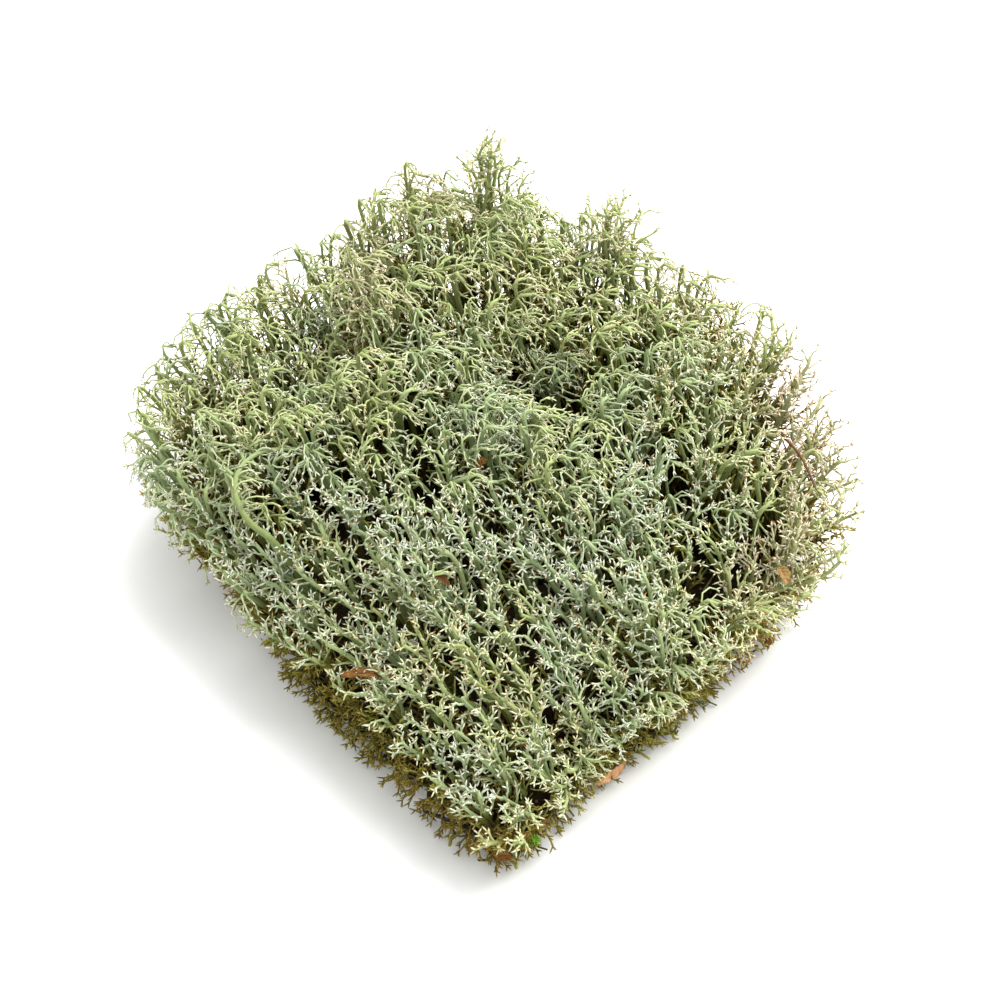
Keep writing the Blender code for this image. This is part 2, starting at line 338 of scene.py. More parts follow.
class Nodes:
    """A material under construction: its tree and its shader."""

    def __init__(self, name: str) -> None:
        """Starts an empty material with a Principled shader and an output."""
        self.material = bpy.data.materials.new(name)
        self.material.use_nodes = True
        self.tree = self.material.node_tree
        self.tree.nodes.clear()
        output = self.tree.nodes.new("ShaderNodeOutputMaterial")
        self.shader = self.add("ShaderNodeBsdfPrincipled")
        self.tree.links.new(self.shader.outputs[0], output.inputs[0])

    def add(
        self,
        kind: str,
        settings: Optional[dict[str, Any]] = None,
        inputs: Optional[dict[Any, Any]] = None,
    ) -> bpy.types.Node:
        """Adds a node with its settings and links.

        Args:
            kind: the node's type.
            settings: its properties by name.
            inputs: values by socket name or number; an output socket is linked.

        Returns:
            The node.
        """
        node = self.tree.nodes.new(kind)
        for key, value in (settings or {}).items():
            setattr(node, key, value)
        for key, value in (inputs or {}).items():
            self.plug(node, key, value)
        return node

    def plug(self, node: bpy.types.Node, key: Any, value: Any) -> None:
        """Links an output socket to a node's input, or sets the input to a plain value."""
        if isinstance(value, bpy.types.NodeSocket):
            self.tree.links.new(value, node.inputs[key])
        else:
            node.inputs[key].default_value = value

    def ramp(self, fac: bpy.types.NodeSocket, stops: Stops) -> bpy.types.NodeSocket:
        """A colour ramp through sRGB hex stops, and its colour output."""
        node = self.add("ShaderNodeValToRGB", inputs={0: fac})
        bar = node.color_ramp
        while len(bar.elements) < len(stops):
            bar.elements.new(0.5)
        for element, (place, code) in zip(bar.elements, stops):
            element.position = place
            element.color = linear(code)
        return node.outputs[0]

    def attribute(self, name: str) -> bpy.types.NodeSocket:
        """The number that each point of the piece carries under a name."""
        node = self.add("ShaderNodeAttribute", {"attribute_name": name})
        return node.outputs["Fac"]

    def noise(self, size: float, detail: float = 2.0) -> bpy.types.NodeSocket:
        """Noise on object coordinates whose blotches are about size metres across."""
        place = self.add("ShaderNodeTexCoord").outputs["Object"]
        grain = {"Vector": place, "Scale": 1.0 / size, "Detail": detail}
        return self.add("ShaderNodeTexNoise", inputs=grain).outputs[0]

    def math(self, operation: str, *values: Any, clamp: bool = False) -> bpy.types.NodeSocket:
        """One step of arithmetic, kept between 0 and 1 if clamped."""
        settings = {"operation": operation, "use_clamp": clamp}
        return self.add("ShaderNodeMath", settings, dict(enumerate(values))).outputs[0]

    def mix(self, fac: Any, one: Any, two: Any, how: str = "MIX") -> bpy.types.NodeSocket:
        """Blends two colours."""
        settings = {"data_type": "RGBA", "blend_type": how}
        node = self.add("ShaderNodeMix", settings, {0: fac, 6: one, 7: two})
        return node.outputs[2]

    def bump(self, height: bpy.types.NodeSocket, distance: float, strength: float = 1.0) -> None:
        """Gives the shader a bump of a real depth in metres."""
        lift = {"Height": height, "Distance": distance, "Strength": strength}
        self.plug(self.shader, "Normal", self.add("ShaderNodeBump", inputs=lift).outputs[0])

    def coat(self, colour: Any, roughness: float, shine: float) -> None:
        """Gives the shader its colour, its roughness and how much it glints."""
        self.plug(self.shader, "Base Color", colour)
        self.plug(self.shader, "Roughness", roughness)
        self.plug(self.shader, "Specular IOR Level", shine)


@dataclass(frozen=True)
class LichenFinish:
    """Dry lichen: a cottony, matt felt of fungal threads that hides green algae.

    Old stem bases are brown and dead, and their near-black lowest tones are partly that decay and partly
    painted shade of the clump's depths. Stems are mint grey-green, the finest branches are pale, and some
    branch ends carry a brown spore cup. What a point carries as its age places it along the three ramps,
    its life chooses between the dead, the fading and the living one, and its tint chooses the tone that is
    laid over them; a point's life is lowered partly by painted shade too.
    """

    name: str = "dry_lichen"
    # The lowest stops of all three ramps, near black, are partly the real decay of old stem bases and
    # partly painted shade of the clump's dark depths, where those stems stand.
    living: Stops = (
        (0.00, "#1C1A04"),
        (0.16, "#42441A"),
        (0.34, "#707D4E"),
        (0.50, "#939F78"),
        (0.66, "#A9B38E"),
        (0.80, "#CDD1BA"),
        (0.90, "#E7E6DE"),
        (0.945, "#F0EDE5"),
        (0.970, "#B07C46"),
    )
    fading: Stops = (
        (0.00, "#2A2208"),
        (0.35, "#5E581A"),
        (0.60, "#828030"),
        (0.82, "#A8A856"),
        (0.945, "#C6BE88"),
        (0.970, "#8A5A2A"),
    )
    dead: Stops = (
        (0.00, "#1A1308"),
        (0.35, "#3E3216"),
        (0.60, "#62551E"),
        (0.82, "#897C38"),
        (1.00, "#937E40"),
    )
    tones: Stops = (
        (0.05, "#E6EDE0"),
        (0.45, "#EFF1C8"),
        (0.90, "#F8E8DC"),
    )
    patches: float = 22.0 * MM
    grain: float = 1.1 * MM
    speck: float = 0.45 * MM
    felt: float = 0.30 * MM

    def build(self) -> bpy.types.Material:
        """Makes the material."""
        nodes = Nodes(self.name)
        age = nodes.attribute("age")
        life = nodes.attribute("life")
        patch = nodes.math("MULTIPLY_ADD", nodes.noise(self.patches), 0.8, -0.40)
        tint = nodes.math("ADD", nodes.attribute("tint"), patch, clamp=True)
        drift = nodes.math("MULTIPLY_ADD", nodes.noise(self.grain, 3.0), 0.10, -0.05)
        aged = nodes.math("ADD", age, drift)
        green, olive, brown = (nodes.ramp(aged, way) for way in (self.living, self.fading, self.dead))
        older = nodes.math("MULTIPLY", life, 2.0, clamp=True)
        younger = nodes.math("SUBTRACT", nodes.math("MULTIPLY", life, 2.0), 1.0)
        body = nodes.mix(older, brown, olive)
        body = nodes.mix(younger, body, green)
        toned = nodes.mix(1.0, body, nodes.ramp(tint, self.tones), "MULTIPLY")
        speckle = nodes.math("MULTIPLY_ADD", nodes.noise(self.speck), 0.5, 0.77)
        colour = nodes.mix(1.0, toned, speckle, "MULTIPLY")
        nodes.coat(colour, 0.92, 0.25)
        nodes.bump(nodes.noise(self.felt), 0.05 * MM, 0.6)
        return nodes.material


@dataclass(frozen=True)
class HumusFinish:
    """Forest humus matted with dead lichen: nearly black crumbs, with paler ends of cut stems."""

    name: str = "forest_humus"
    dark: str = "#0E0A05"
    crumb: str = "#2C2210"
    stem_end: str = "#7A6A3C"
    stem_size: float = 1.7 * MM

    def build(self) -> bpy.types.Material:
        """Makes the material."""
        nodes = Nodes(self.name)
        crumbs = nodes.noise(1.3 * MM, 4.0)
        ground = nodes.ramp(crumbs, ((0.35, self.dark), (0.70, self.crumb)))
        place = nodes.add("ShaderNodeTexCoord").outputs["Object"]
        cells = {"Vector": place, "Scale": 1.0 / self.stem_size}
        near = nodes.add("ShaderNodeTexVoronoi", inputs=cells).outputs["Distance"]
        ends = nodes.ramp(near, ((0.18, "#FFFFFF"), (0.30, "#000000")))
        colour = nodes.mix(nodes.math("MULTIPLY", ends, 0.55), ground, linear(self.stem_end))
        nodes.coat(colour, 0.95, 0.15)
        nodes.bump(crumbs, 0.6 * MM)
        return nodes.material


@dataclass(frozen=True)
class ScrapFinish:
    """Dry plant scraps: streaks along the piece, blotches across it and, on a leaf, a rib and veins."""

    name: str
    dark: str
    middle: str
    pale: str
    streaks: float = 9.0
    blotch: float = 1.4 * MM
    veined: bool = False
    roughness: float = 0.75
    relief: float = 0.15 * MM

    def build(self) -> bpy.types.Material:
        """Makes the material."""
        nodes = Nodes(self.name)
        length = nodes.attribute("age")
        width = nodes.attribute("life")
        lanes = nodes.math("MULTIPLY", width, self.streaks)
        runs = nodes.math("MULTIPLY", length, 2.2)
        grid = nodes.add("ShaderNodeCombineXYZ", inputs={0: runs, 1: lanes}).outputs[0]
        threads = {"Vector": grid, "Scale": 1.6, "Detail": 3.0}
        fibre = nodes.add("ShaderNodeTexNoise", inputs=threads).outputs[0]
        patch = nodes.noise(self.blotch, 3.0)
        mixed = nodes.math("MULTIPLY_ADD", fibre, 0.6, nodes.math("MULTIPLY", patch, 0.4))
        colour = nodes.ramp(mixed, ((0.32, self.dark), (0.50, self.middle), (0.68, self.pale)))
        height = mixed
        if self.veined:
            off = nodes.math("ABSOLUTE", nodes.math("SUBTRACT", width, 0.5))
            rib = nodes.math("LESS_THAN", off, 0.035)
            slant = nodes.math("MULTIPLY_ADD", off, -5.0, nodes.math("MULTIPLY", length, 9.0))
            vein = nodes.math("LESS_THAN", nodes.math("FRACT", slant), 0.13)
            lines = nodes.math("MAXIMUM", rib, nodes.math("MULTIPLY", vein, 0.5))
            colour = nodes.mix(nodes.math("MULTIPLY", lines, 0.6), colour, linear(self.dark))
            height = nodes.math("ADD", mixed, lines)
        nodes.coat(colour, self.roughness, 0.3)
        nodes.bump(height, self.relief)
        return nodes.material


# ---------------------------------------------------------------------------------------------
# The clump as a whole
# ---------------------------------------------------------------------------------------------


def node_points(name: str) -> Array:
    """The points of a CAD node's mesh."""
    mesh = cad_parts[name].data
    points = np.empty(len(mesh.vertices) * 3)
    mesh.vertices.foreach_get("co", points)
    return points.reshape(-1, 3)


def node_middle(name: str) -> Array:
    """The middle of a CAD node's box."""
    return np.array(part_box(name)).mean(axis=0)


def farthest_first(points: Array, weight: Array, spacing: float, most: int) -> Array:
    """Picks points that keep their distance: each next one is the farthest from all picked so far.

    Args:
        points: candidates, (n, 3).
        weight: how much each candidate's distances count, (n,).
        spacing: stop once the farthest is nearer than this.
        most: stop at this many.

    Returns:
        The numbers of the picked points.
    """
    picked = [int(np.argmax(points[:, 2]))]
    reach = np.linalg.norm(points - points[picked[0]], axis=1) * weight
    while len(picked) < most and reach.max() > spacing:
        following = int(np.argmax(reach))
        picked.append(following)
        away = np.linalg.norm(points - points[following], axis=1) * weight
        reach = np.minimum(reach, away)
    return np.array(picked)


def by_bearing(table: Table, turn: Array) -> Array:
    """Reads a table of values by direction in plan, joined up all the way round.

    Args:
        table: bearings in degrees, counted from the right towards the back, and their values.
        turn: the directions wanted, in radians.

    Returns:
        The value in each direction.
    """
    return np.interp(np.degrees(turn), *np.array(table).T, period=360)


class Manner(Enum):
    """How a plume grows.

    The numbers are the plan angle of its end and its spread, the pitch of its end and its spread, all
    in degrees, and how far its forks open. The plan angle of the last two is counted from outwards.
    OVERARCHING plumes rise and bend over to the right, LYING ones reach to the back left with star
    forks, STANDING ones look outwards and up, and HANGING ones leave the clump's walls.
    """

    OVERARCHING = (-18.0, 34.0, -38.0, 20.0, 0.0)
    LYING = (148.0, 32.0, 30.0, 20.0, 1.0)
    STANDING = (0.0, 75.0, 48.0, 24.0, 0.8)
    HANGING = (0.0, 42.0, -6.0, 30.0, 0.6)


@dataclass
class Sprouts:
    """Where plumes end, and how each of them grows.

    A plume arrives along its hook, its body leans the body's way, and its rank says whether it is one
    of the crown, the walls or those beneath.
    """

    places: Array
    hook: Array
    body: Array
    openness: Array
    rank: Array
    size: Array

    def picked(self, index: Array) -> "Sprouts":
        """Some of the sprouts, by number or by a mask."""
        return Sprouts(*(getattr(self, field.name)[index] for field in fields(self)))

    @staticmethod
    def joined(many: list["Sprouts"]) -> "Sprouts":
        """Several sets of sprouts in one."""
        names = [field.name for field in fields(Sprouts)]
        return Sprouts(*(np.concatenate([getattr(one, name) for one in many]) for name in names))


@dataclass
class Cushion:
    """The shape of the whole clump, read from the tufts' solids, and where its plumes sprout.

    The sides narrow below the fan height, and their foot is set back between the two foot heights.
    The crown's drop towards its rim fades out between the two places along Y in rim_fades.
    """

    # Gaps in the crown, where the dark inside shows: middle in plan and radius, mm.
    PITS = (
        (15.5, 24.0, 7.0), (21.0, 29.0, 4.8), (46.0, -20.0, 6.0), (19.0, -64.0, 4.5), (-32.0, 13.0, 5.0),
        (-65.0, 17.0, 5.0), (33.0, 4.0, 4.2), (-12.0, -6.0, 4.2), (-18.0, 33.0, 4.5), (4.0, -24.0, 4.0),
        (-34.0, -20.0, 4.2), (60.0, 20.0, 4.5), (36.0, 40.0, 4.5),
    )
    # Rises and dips of the crown at the back: middle in plan, radius and height, mm.
    SWELLS = (
        (-28.0, 60.0, 11.0, -5.5),
        (-7.0, 65.0, 6.5, 7.0),
        (9.5, 64.0, 7.0, 10.0),
    )
    # Bearing in degrees, and the share of the lichen's life that is taken away on that side, which browns
    # and darkens it. It is partly real dead lichen, and the large shares left of the front corner, on the
    # side turned from the key light, are painted shade.
    FADES_AND_SHADE = (
        (0, 0.18), (45, 0.24), (90, 0.28), (135, 0.26), (180, 0.30), (205, 0.56),
        (258, 0.60), (284, 0.16), (325, 0.12),
    )
    # Bearing in degrees, and how far the outline lies outside the tufts' own there (minus: inside), mm.
    TRIMS = (
        (5, 0.0), (14, -2.5), (22, -3.0), (30, -1.0), (42, -4.0), (52, -5.0),
        (62, -3.5), (74, -4.0), (84, 2.5), (97, 5.0), (105, -2.5), (116, -7.0),
        (131, -6.5), (140, -2.0), (147, 3.0), (155, 4.5), (163, 3.5), (170, 0.5),
        (178, -5.0), (184, -8.5), (191, -9.5), (199, -6.0), (216, -5.5), (228, -7.5),
        (252, -9.0), (262, -6.0), (270, 2.0), (280, 0.0), (312, 2.0), (327, 0.5),
        (345, -1.5),
    )
    # Bearing in degrees, and how far the foot of the side is set back there (minus: stands out), mm.
    UNDERCUT = (
        (0, 3.0), (20, 0.0), (150, 0.0), (170, 6.0), (186, 8.0), (203, 3.0),
        (214, -1.0), (226, -3.5), (254, -3.5), (268, -1.0), (280, 0.0), (320, 1.0),
        (345, 3.0),
    )

    names: list[str]
    mat_top: float
    seed: int = 5
    bins: int = 72
    spacing: float = 3.95 * MM
    most_plumes: int = 3000
    crown_spots: int = 36000
    wall_spots: int = 14000
    base_share: float = 0.875
    fan_height: float = 33.0 * MM
    foot_height: tuple[float, float] = (30 * MM, 5 * MM)
    rim_drop: float = 0.24
    rim_fades: tuple[float, float] = (20 * MM, 50 * MM)
    smoothing: float = 7.5 * MM
    half_width: float = 85 * MM
    crown_share: float = 0.965
    right_share: float = 0.055
    slope_step: float = 1.5 * MM
    wall_depth: float = 1.5 * MM
    wall_foot: float = 2.5 * MM
    right_bulge: float = 3.5 * MM
    unevenness: float = 1.5 * MM
    spire_width: float = 9.5 * MM
    spire_plumes: int = 18
    spire_limit: float = 46 * MM
    spire_lift: float = 6 * MM

    def __post_init__(self) -> None:
        """Reads each tuft's apex and root, and the clump's outline in plan."""
        self.chance = np.random.default_rng(self.seed)
        clouds = [node_points(name) for name in self.names]
        self.apexes = np.array([points[np.argmax(points[:, 2])] for points in clouds])
        feet = [points[points[:, 2] < points[:, 2].min() + 0.01 * MM] for points in clouds]
        self.roots = np.array([foot.mean(axis=0) for foot in feet])
        self.tall = np.array(["tall" in name for name in self.names])
        usual = ~self.tall
        beside_spire = np.median(self.apexes[usual, 2]) + self.spire_lift
        self.heights = np.where(usual, self.apexes[:, 2], beside_spire)
        self.middle = self.roots[:, :2].mean(axis=0)
        limits = np.where(self.tall, self.spire_limit, np.inf)
        low = [points[points[:, 2] < limit] for points, limit in zip(clouds, limits)]
        self.outline = self.read_outline(np.concatenate(low)[:, :2] - self.middle)

    def read_outline(self, spots: Array) -> Array:
        """The farthest spot in each direction: a running maximum over three bins, smoothed and trimmed."""
        turn = np.arctan2(spots[:, 1], spots[:, 0]) % math.tau
        near = np.floor(turn / math.tau * self.bins).astype(int) % self.bins
        far = np.zeros(self.bins)
        np.maximum.at(far, near, np.linalg.norm(spots, axis=1))
        far = np.maximum(far, np.maximum(np.roll(far, 1), np.roll(far, -1)))
        for _ in range(2):
            far = 0.25 * np.roll(far, 1) + 0.5 * far + 0.25 * np.roll(far, -1)
        centres = (np.arange(self.bins) + 0.5) * 360 / self.bins
        return far + by_bearing(self.TRIMS, np.radians(centres)) * MM

    def reach(self, turn: Array, height: Array) -> Array:
        """How far the clump reaches from its middle in a direction, which is less near its foot."""
        place = turn / math.tau * self.bins - 0.5
        full = np.interp(place % self.bins, np.arange(self.bins), self.outline, period=self.bins)
        share = self.base_share + (1 - self.base_share) * np.clip(height / self.fan_height, 0, 1)
        foot = by_bearing(self.UNDERCUT, turn) * MM
        return full * share - foot * smoothstep(*self.foot_height, height)

    def polar(self, spots: Array) -> tuple[Array, Array]:
        """Direction and distance of places in plan from the clump's middle."""
        apart = spots[:, :2] - self.middle
        return np.arctan2(apart[:, 1], apart[:, 0]) % math.tau, np.linalg.norm(apart, axis=1)

    def inside(self, points: Array, share: float) -> Array:
        """Moves points in plan to within a share of the outline at their own height."""
        turn, away = self.polar(points)
        most = share * self.reach(turn, points[:, 2])
        pull = np.minimum(1.0, most / np.maximum(away, 1e-9))
        moved = points.copy()
        moved[:, :2] = self.middle + (points[:, :2] - self.middle) * pull[:, None]
        return moved

    def top(self, spots: Array) -> Array:
        """Height of the clump's top.

        The tufts' heights are weighted by exp(-(d / s)^2) of their distances. The swells are added,
        and the sum is lowered towards the outline by a share that grows with the sixth power of the
        distance and is small at the back.
        """
        apart = spots[:, None, :2] - self.apexes[None, :, :2]
        weight = np.exp(-(apart**2).sum(axis=2) / self.smoothing**2) + 1e-9
        height = (weight * self.heights).sum(axis=1) / weight.sum(axis=1)
        for x, y, radius, rise in self.SWELLS:
            away = np.linalg.norm(spots[:, :2] - np.array([x, y]) * MM, axis=1) / (radius * MM)
            height = height + rise * MM * np.exp(-(away**2))
        turn, away = self.polar(spots)
        out = np.clip(away / self.reach(turn, np.full(len(spots), self.fan_height)), 0, 1)
        drop = self.rim_drop * (1 - 0.85 * smoothstep(*self.rim_fades, spots[:, 1]))
        return height * (1 - drop * out**6)

    def clear_of_pits(self, spots: Array, wider: float) -> Array:
        """Whether each place in plan is outside all the pits, with their radii made wider."""
        clear = np.ones(len(spots), bool)
        for x, y, radius in self.PITS:
            clear &= np.linalg.norm(spots - np.array([x, y]) * MM, axis=1) > wider * radius * MM
        return clear

    def crown(self, count: int) -> tuple[Array, Array]:
        """Random points over the top, and its slope's normals by differences of height."""
        spots = self.chance.uniform(-self.half_width, self.half_width, (count, 2)) + self.middle
        turn, away = self.polar(spots)
        share = self.crown_share + self.right_share * smoothstep(45 * MM, 68 * MM, spots[:, 0])
        spots = spots[away < share * self.reach(turn, np.full(count, self.fan_height))]
        spots = spots[self.clear_of_pits(spots, 1.0)]
        step = self.slope_step
        height = self.top(spots)
        slope_x = (self.top(spots + [step, 0]) - height) / step
        slope_y = (self.top(spots + [0, step]) - height) / step
        normals = unit(np.stack([-slope_x, -slope_y, np.ones(len(spots))], axis=1))
        return np.column_stack([spots, height]), normals

    def walls(self, count: int) -> tuple[Array, Array]:
        """Random points down the sides, and their outward normals."""
        turn = self.chance.uniform(0, math.tau, count)
        out = compass(turn)
        rim = self.middle + out[:, :2] * self.reach(turn, np.full(count, self.fan_height))[:, None]
        height = self.wall_foot + self.chance.random(count) * (self.top(rim) - self.wall_foot - MM)
        wider = self.right_bulge * smoothstep(0.75, 0.95, np.cos(turn))
        points = out * (self.reach(turn, height) - self.wall_depth + wider)[:, None]
        points[:, :2] += self.middle
        points[:, 2] = height
        return points, unit(out + 0.15 * UP)

    def sprouts(self) -> Sprouts:
        """Spreads plumes evenly over the top and the sides, closer in front than behind."""
        crown, up = self.crown(self.crown_spots)
        walls, out = self.walls(self.wall_spots)
        places = np.concatenate([crown, walls])
        normals = np.concatenate([up, out])
        wall = np.arange(len(places)) >= len(crown)
        behind = smoothstep(5 * MM, 40 * MM, places[:, 1])
        weight = np.where(wall, 0.82 - 0.08 * behind, 1.0)
        picked = farthest_first(places, weight, self.spacing, self.most_plumes)
        made = self.manners(places[picked], normals[picked], wall[picked])
        lift = self.chance.normal(0, self.unevenness, len(picked))
        made.places[:, 2] += np.where(made.rank == CROWN, lift, 0.0)
        under = self.understory(made)
        counts = (len(picked), wall[picked].sum(), len(under.rank))
        LOG.info("%d plumes, %d on the sides and %d beneath", *counts)
        return Sprouts.joined([made, under])

    def understory(self, crown: Sprouts) -> Sprouts:
        """Smaller plumes part of the way down among the stems, with more of them at the back."""
        chance = self.chance
        behind = smoothstep(0.0, 45 * MM, crown.places[:, 1])
        deep = chance.random(len(crown.rank)) < 0.42 + 0.40 * behind
        some = crown.picked((crown.rank == CROWN) & deep)
        depths = chance.uniform(6 * MM, 20 * MM, len(some.rank))
        shallow = chance.random(len(crown.rank)) < 0.46
        closer = crown.picked((crown.places[:, 1] > 26 * MM) & shallow)
        depths = np.append(depths, chance.uniform(2.5 * MM, 11 * MM, len(closer.rank)))
        some = Sprouts.joined([some, closer])
        inward = depths[:, None] * unit(some.body + 0.6 * UP)
        some.places = some.places - inward + chance.normal(0, 2.2 * MM, some.places.shape)
        some.places[:, 2] = np.maximum(some.places[:, 2], self.mat_top + 3 * MM)
        some.places = self.inside(some.places, 0.97)
        some = some.picked(self.clear_of_pits(some.places[:, :2], 1.15))
        n = len(some.rank)
        some.hook = unit(chance.normal(0, 0.8, (n, 3)) + 0.5 * UP)
        some.openness = np.full(n, 0.9)
        some.rank = np.full(n, BENEATH)
        return some

    def kinds(self, places: Array, wall: Array) -> Array:
        """Each plume's manner, by its number in Manner's order, with soft limits between the zones."""
        n = len(places)
        stray = self.chance.normal(0, 7 * MM, (2, n))
        front = smoothstep(8 * MM, -22 * MM, places[:, 1] + stray[0])
        right = smoothstep(22 * MM, 48 * MM, places[:, 0] + stray[1] - 0.3 * places[:, 1])
        draw = self.chance.random((2, n))
        order = list(Manner)
        kinds = np.full(n, order.index(Manner.OVERARCHING))
        kinds[draw[0] < right * 0.85] = order.index(Manner.STANDING)
        kinds[draw[1] < front * (1 - 0.6 * right)] = order.index(Manner.LYING)
        kinds[wall] = order.index(Manner.HANGING)
        return kinds

    def manners(self, places: Array, normals: Array, wall: Array) -> Sprouts:
        """Chooses how each plume grows: the ways of its manner, with its own strays from them."""
        n = len(places)
        chance = self.chance
        kinds = self.kinds(places, wall)
        table = np.array([manner.value for manner in Manner])[kinds]
        aimed_out = (kinds >= list(Manner).index(Manner.STANDING)) * self.polar(places)[0]
        turn = np.radians(table[:, 0]) + aimed_out + np.radians(table[:, 1]) * chance.normal(0, 1, n)
        pitch = np.radians(table[:, 2] + table[:, 3] * chance.normal(0, 1, n))
        level = np.clip(places[:, 2] / np.maximum(self.top(places), MM), 0, 1)
        pitch = np.where(wall, pitch + 0.9 * (level - 0.45), pitch)
        flat = compass(turn)
        hook = flat * np.cos(pitch)[:, None] + UP * np.sin(pitch)[:, None]
        straight = unit(0.9 * UP + 0.35 * normals - 0.22 * flat)
        lying = unit(np.array([-0.66, 0.34, 0.52]) + 0.25 * normals)
        standing = unit(0.7 * UP + 0.45 * normals + 0.25 * flat)
        hanging = unit(0.85 * normals + (0.15 + 0.5 * level[:, None]) * UP)
        body = np.stack([straight, lying, standing, hanging])[kinds, np.arange(n)]
        size = np.clip(chance.normal(1.0, 0.17, n), 0.65, 1.4) * np.where(wall, 0.85, 1.0)
        rank = np.where(wall, WALL, CROWN)
        return Sprouts(places, hook, body, table[:, 4], rank, size)

    def fade(self, places: Array) -> Array:
        """How much of the lichen's life is taken away on a side, partly real dead lichen and partly
        painted shade: most on the left of the front corner, which is turned from the key light.
        """
        return by_bearing(self.FADES_AND_SHADE, self.polar(places)[0])

    def owners(self, places: Array) -> Array:
        """Which tuft each place belongs to: the one whose axis is nearest at that height."""
        span = self.apexes - self.roots
        rise = (places[:, None, 2] - self.roots[None, :, 2]) / span[None, :, 2]
        axis = self.roots[None] + np.clip(rise, 0, 1)[..., None] * span[None]
        apart = np.linalg.norm((places[:, None] - axis)[..., :2], axis=2)
        return apart.argmin(axis=1)

    def spire(self, number: int) -> Sprouts:
        """The few thin plumes that stand clear above the rest in a tall tuft."""
        apex = self.apexes[number]
        rest = self.top(apex[None])[0]
        n = self.spire_plumes
        rise = np.linspace(1.0, 0.10, n)
        turn = GOLDEN_ANGLE * np.arange(n)
        wide = self.spire_width * (1 - rise) ** 0.7
        outward = compass(turn)
        places = apex * [1, 1, 0] + (wide * [1.25])[:, None] * outward
        places[:, 2] = rest + (apex[2] - rest) * rise
        hook = unit(outward + 0.5 * UP + self.chance.normal(0, 0.3, places.shape))
        body = unit(UP + 0.15 * outward)
        return Sprouts(places, hook, body, np.full(n, 0.5), np.full(n, CROWN), np.full(n, 0.72))


# ---------------------------------------------------------------------------------------------
# Tufts
# ---------------------------------------------------------------------------------------------


class Order(Enum):
    """The orders of branching: sides and points of a tube, and its radii at both ends."""

    STEM = (6, 8, 0.85 * MM, 0.55 * MM)
    PLUME = (5, 8, 0.60 * MM, 0.36 * MM)
    HANGER = (4, 6, 0.46 * MM, 0.24 * MM)
    BOUGH = (3, 5, 0.33 * MM, 0.23 * MM)
    SPUR = (3, 4, 0.30 * MM, 0.14 * MM)
    TIP = (3, 3, 0.21 * MM, 0.16 * MM)

    @property
    def sides(self) -> int:
        """How many sides its tube has."""
        return self.value[0]

    @property
    def steps(self) -> int:
        """How many points lie along it."""
        return self.value[1]

    @property
    def radii(self) -> tuple[float, float]:
        """Its radii at the start and at the end."""
        return self.value[2], self.value[3]

    def tapered(self) -> Array:
        """Its radius at each point, as one row."""
        first, last = self.radii
        return first + (last - first) * even(self.steps)

    def within(self, most: Array) -> Array:
        """Its radius at each point, (n, steps), starting no thicker than what carries it, (n, 1)."""
        first, last = self.radii
        t = even(self.steps)
        return np.minimum(first, most) * (1 - t) + last * t


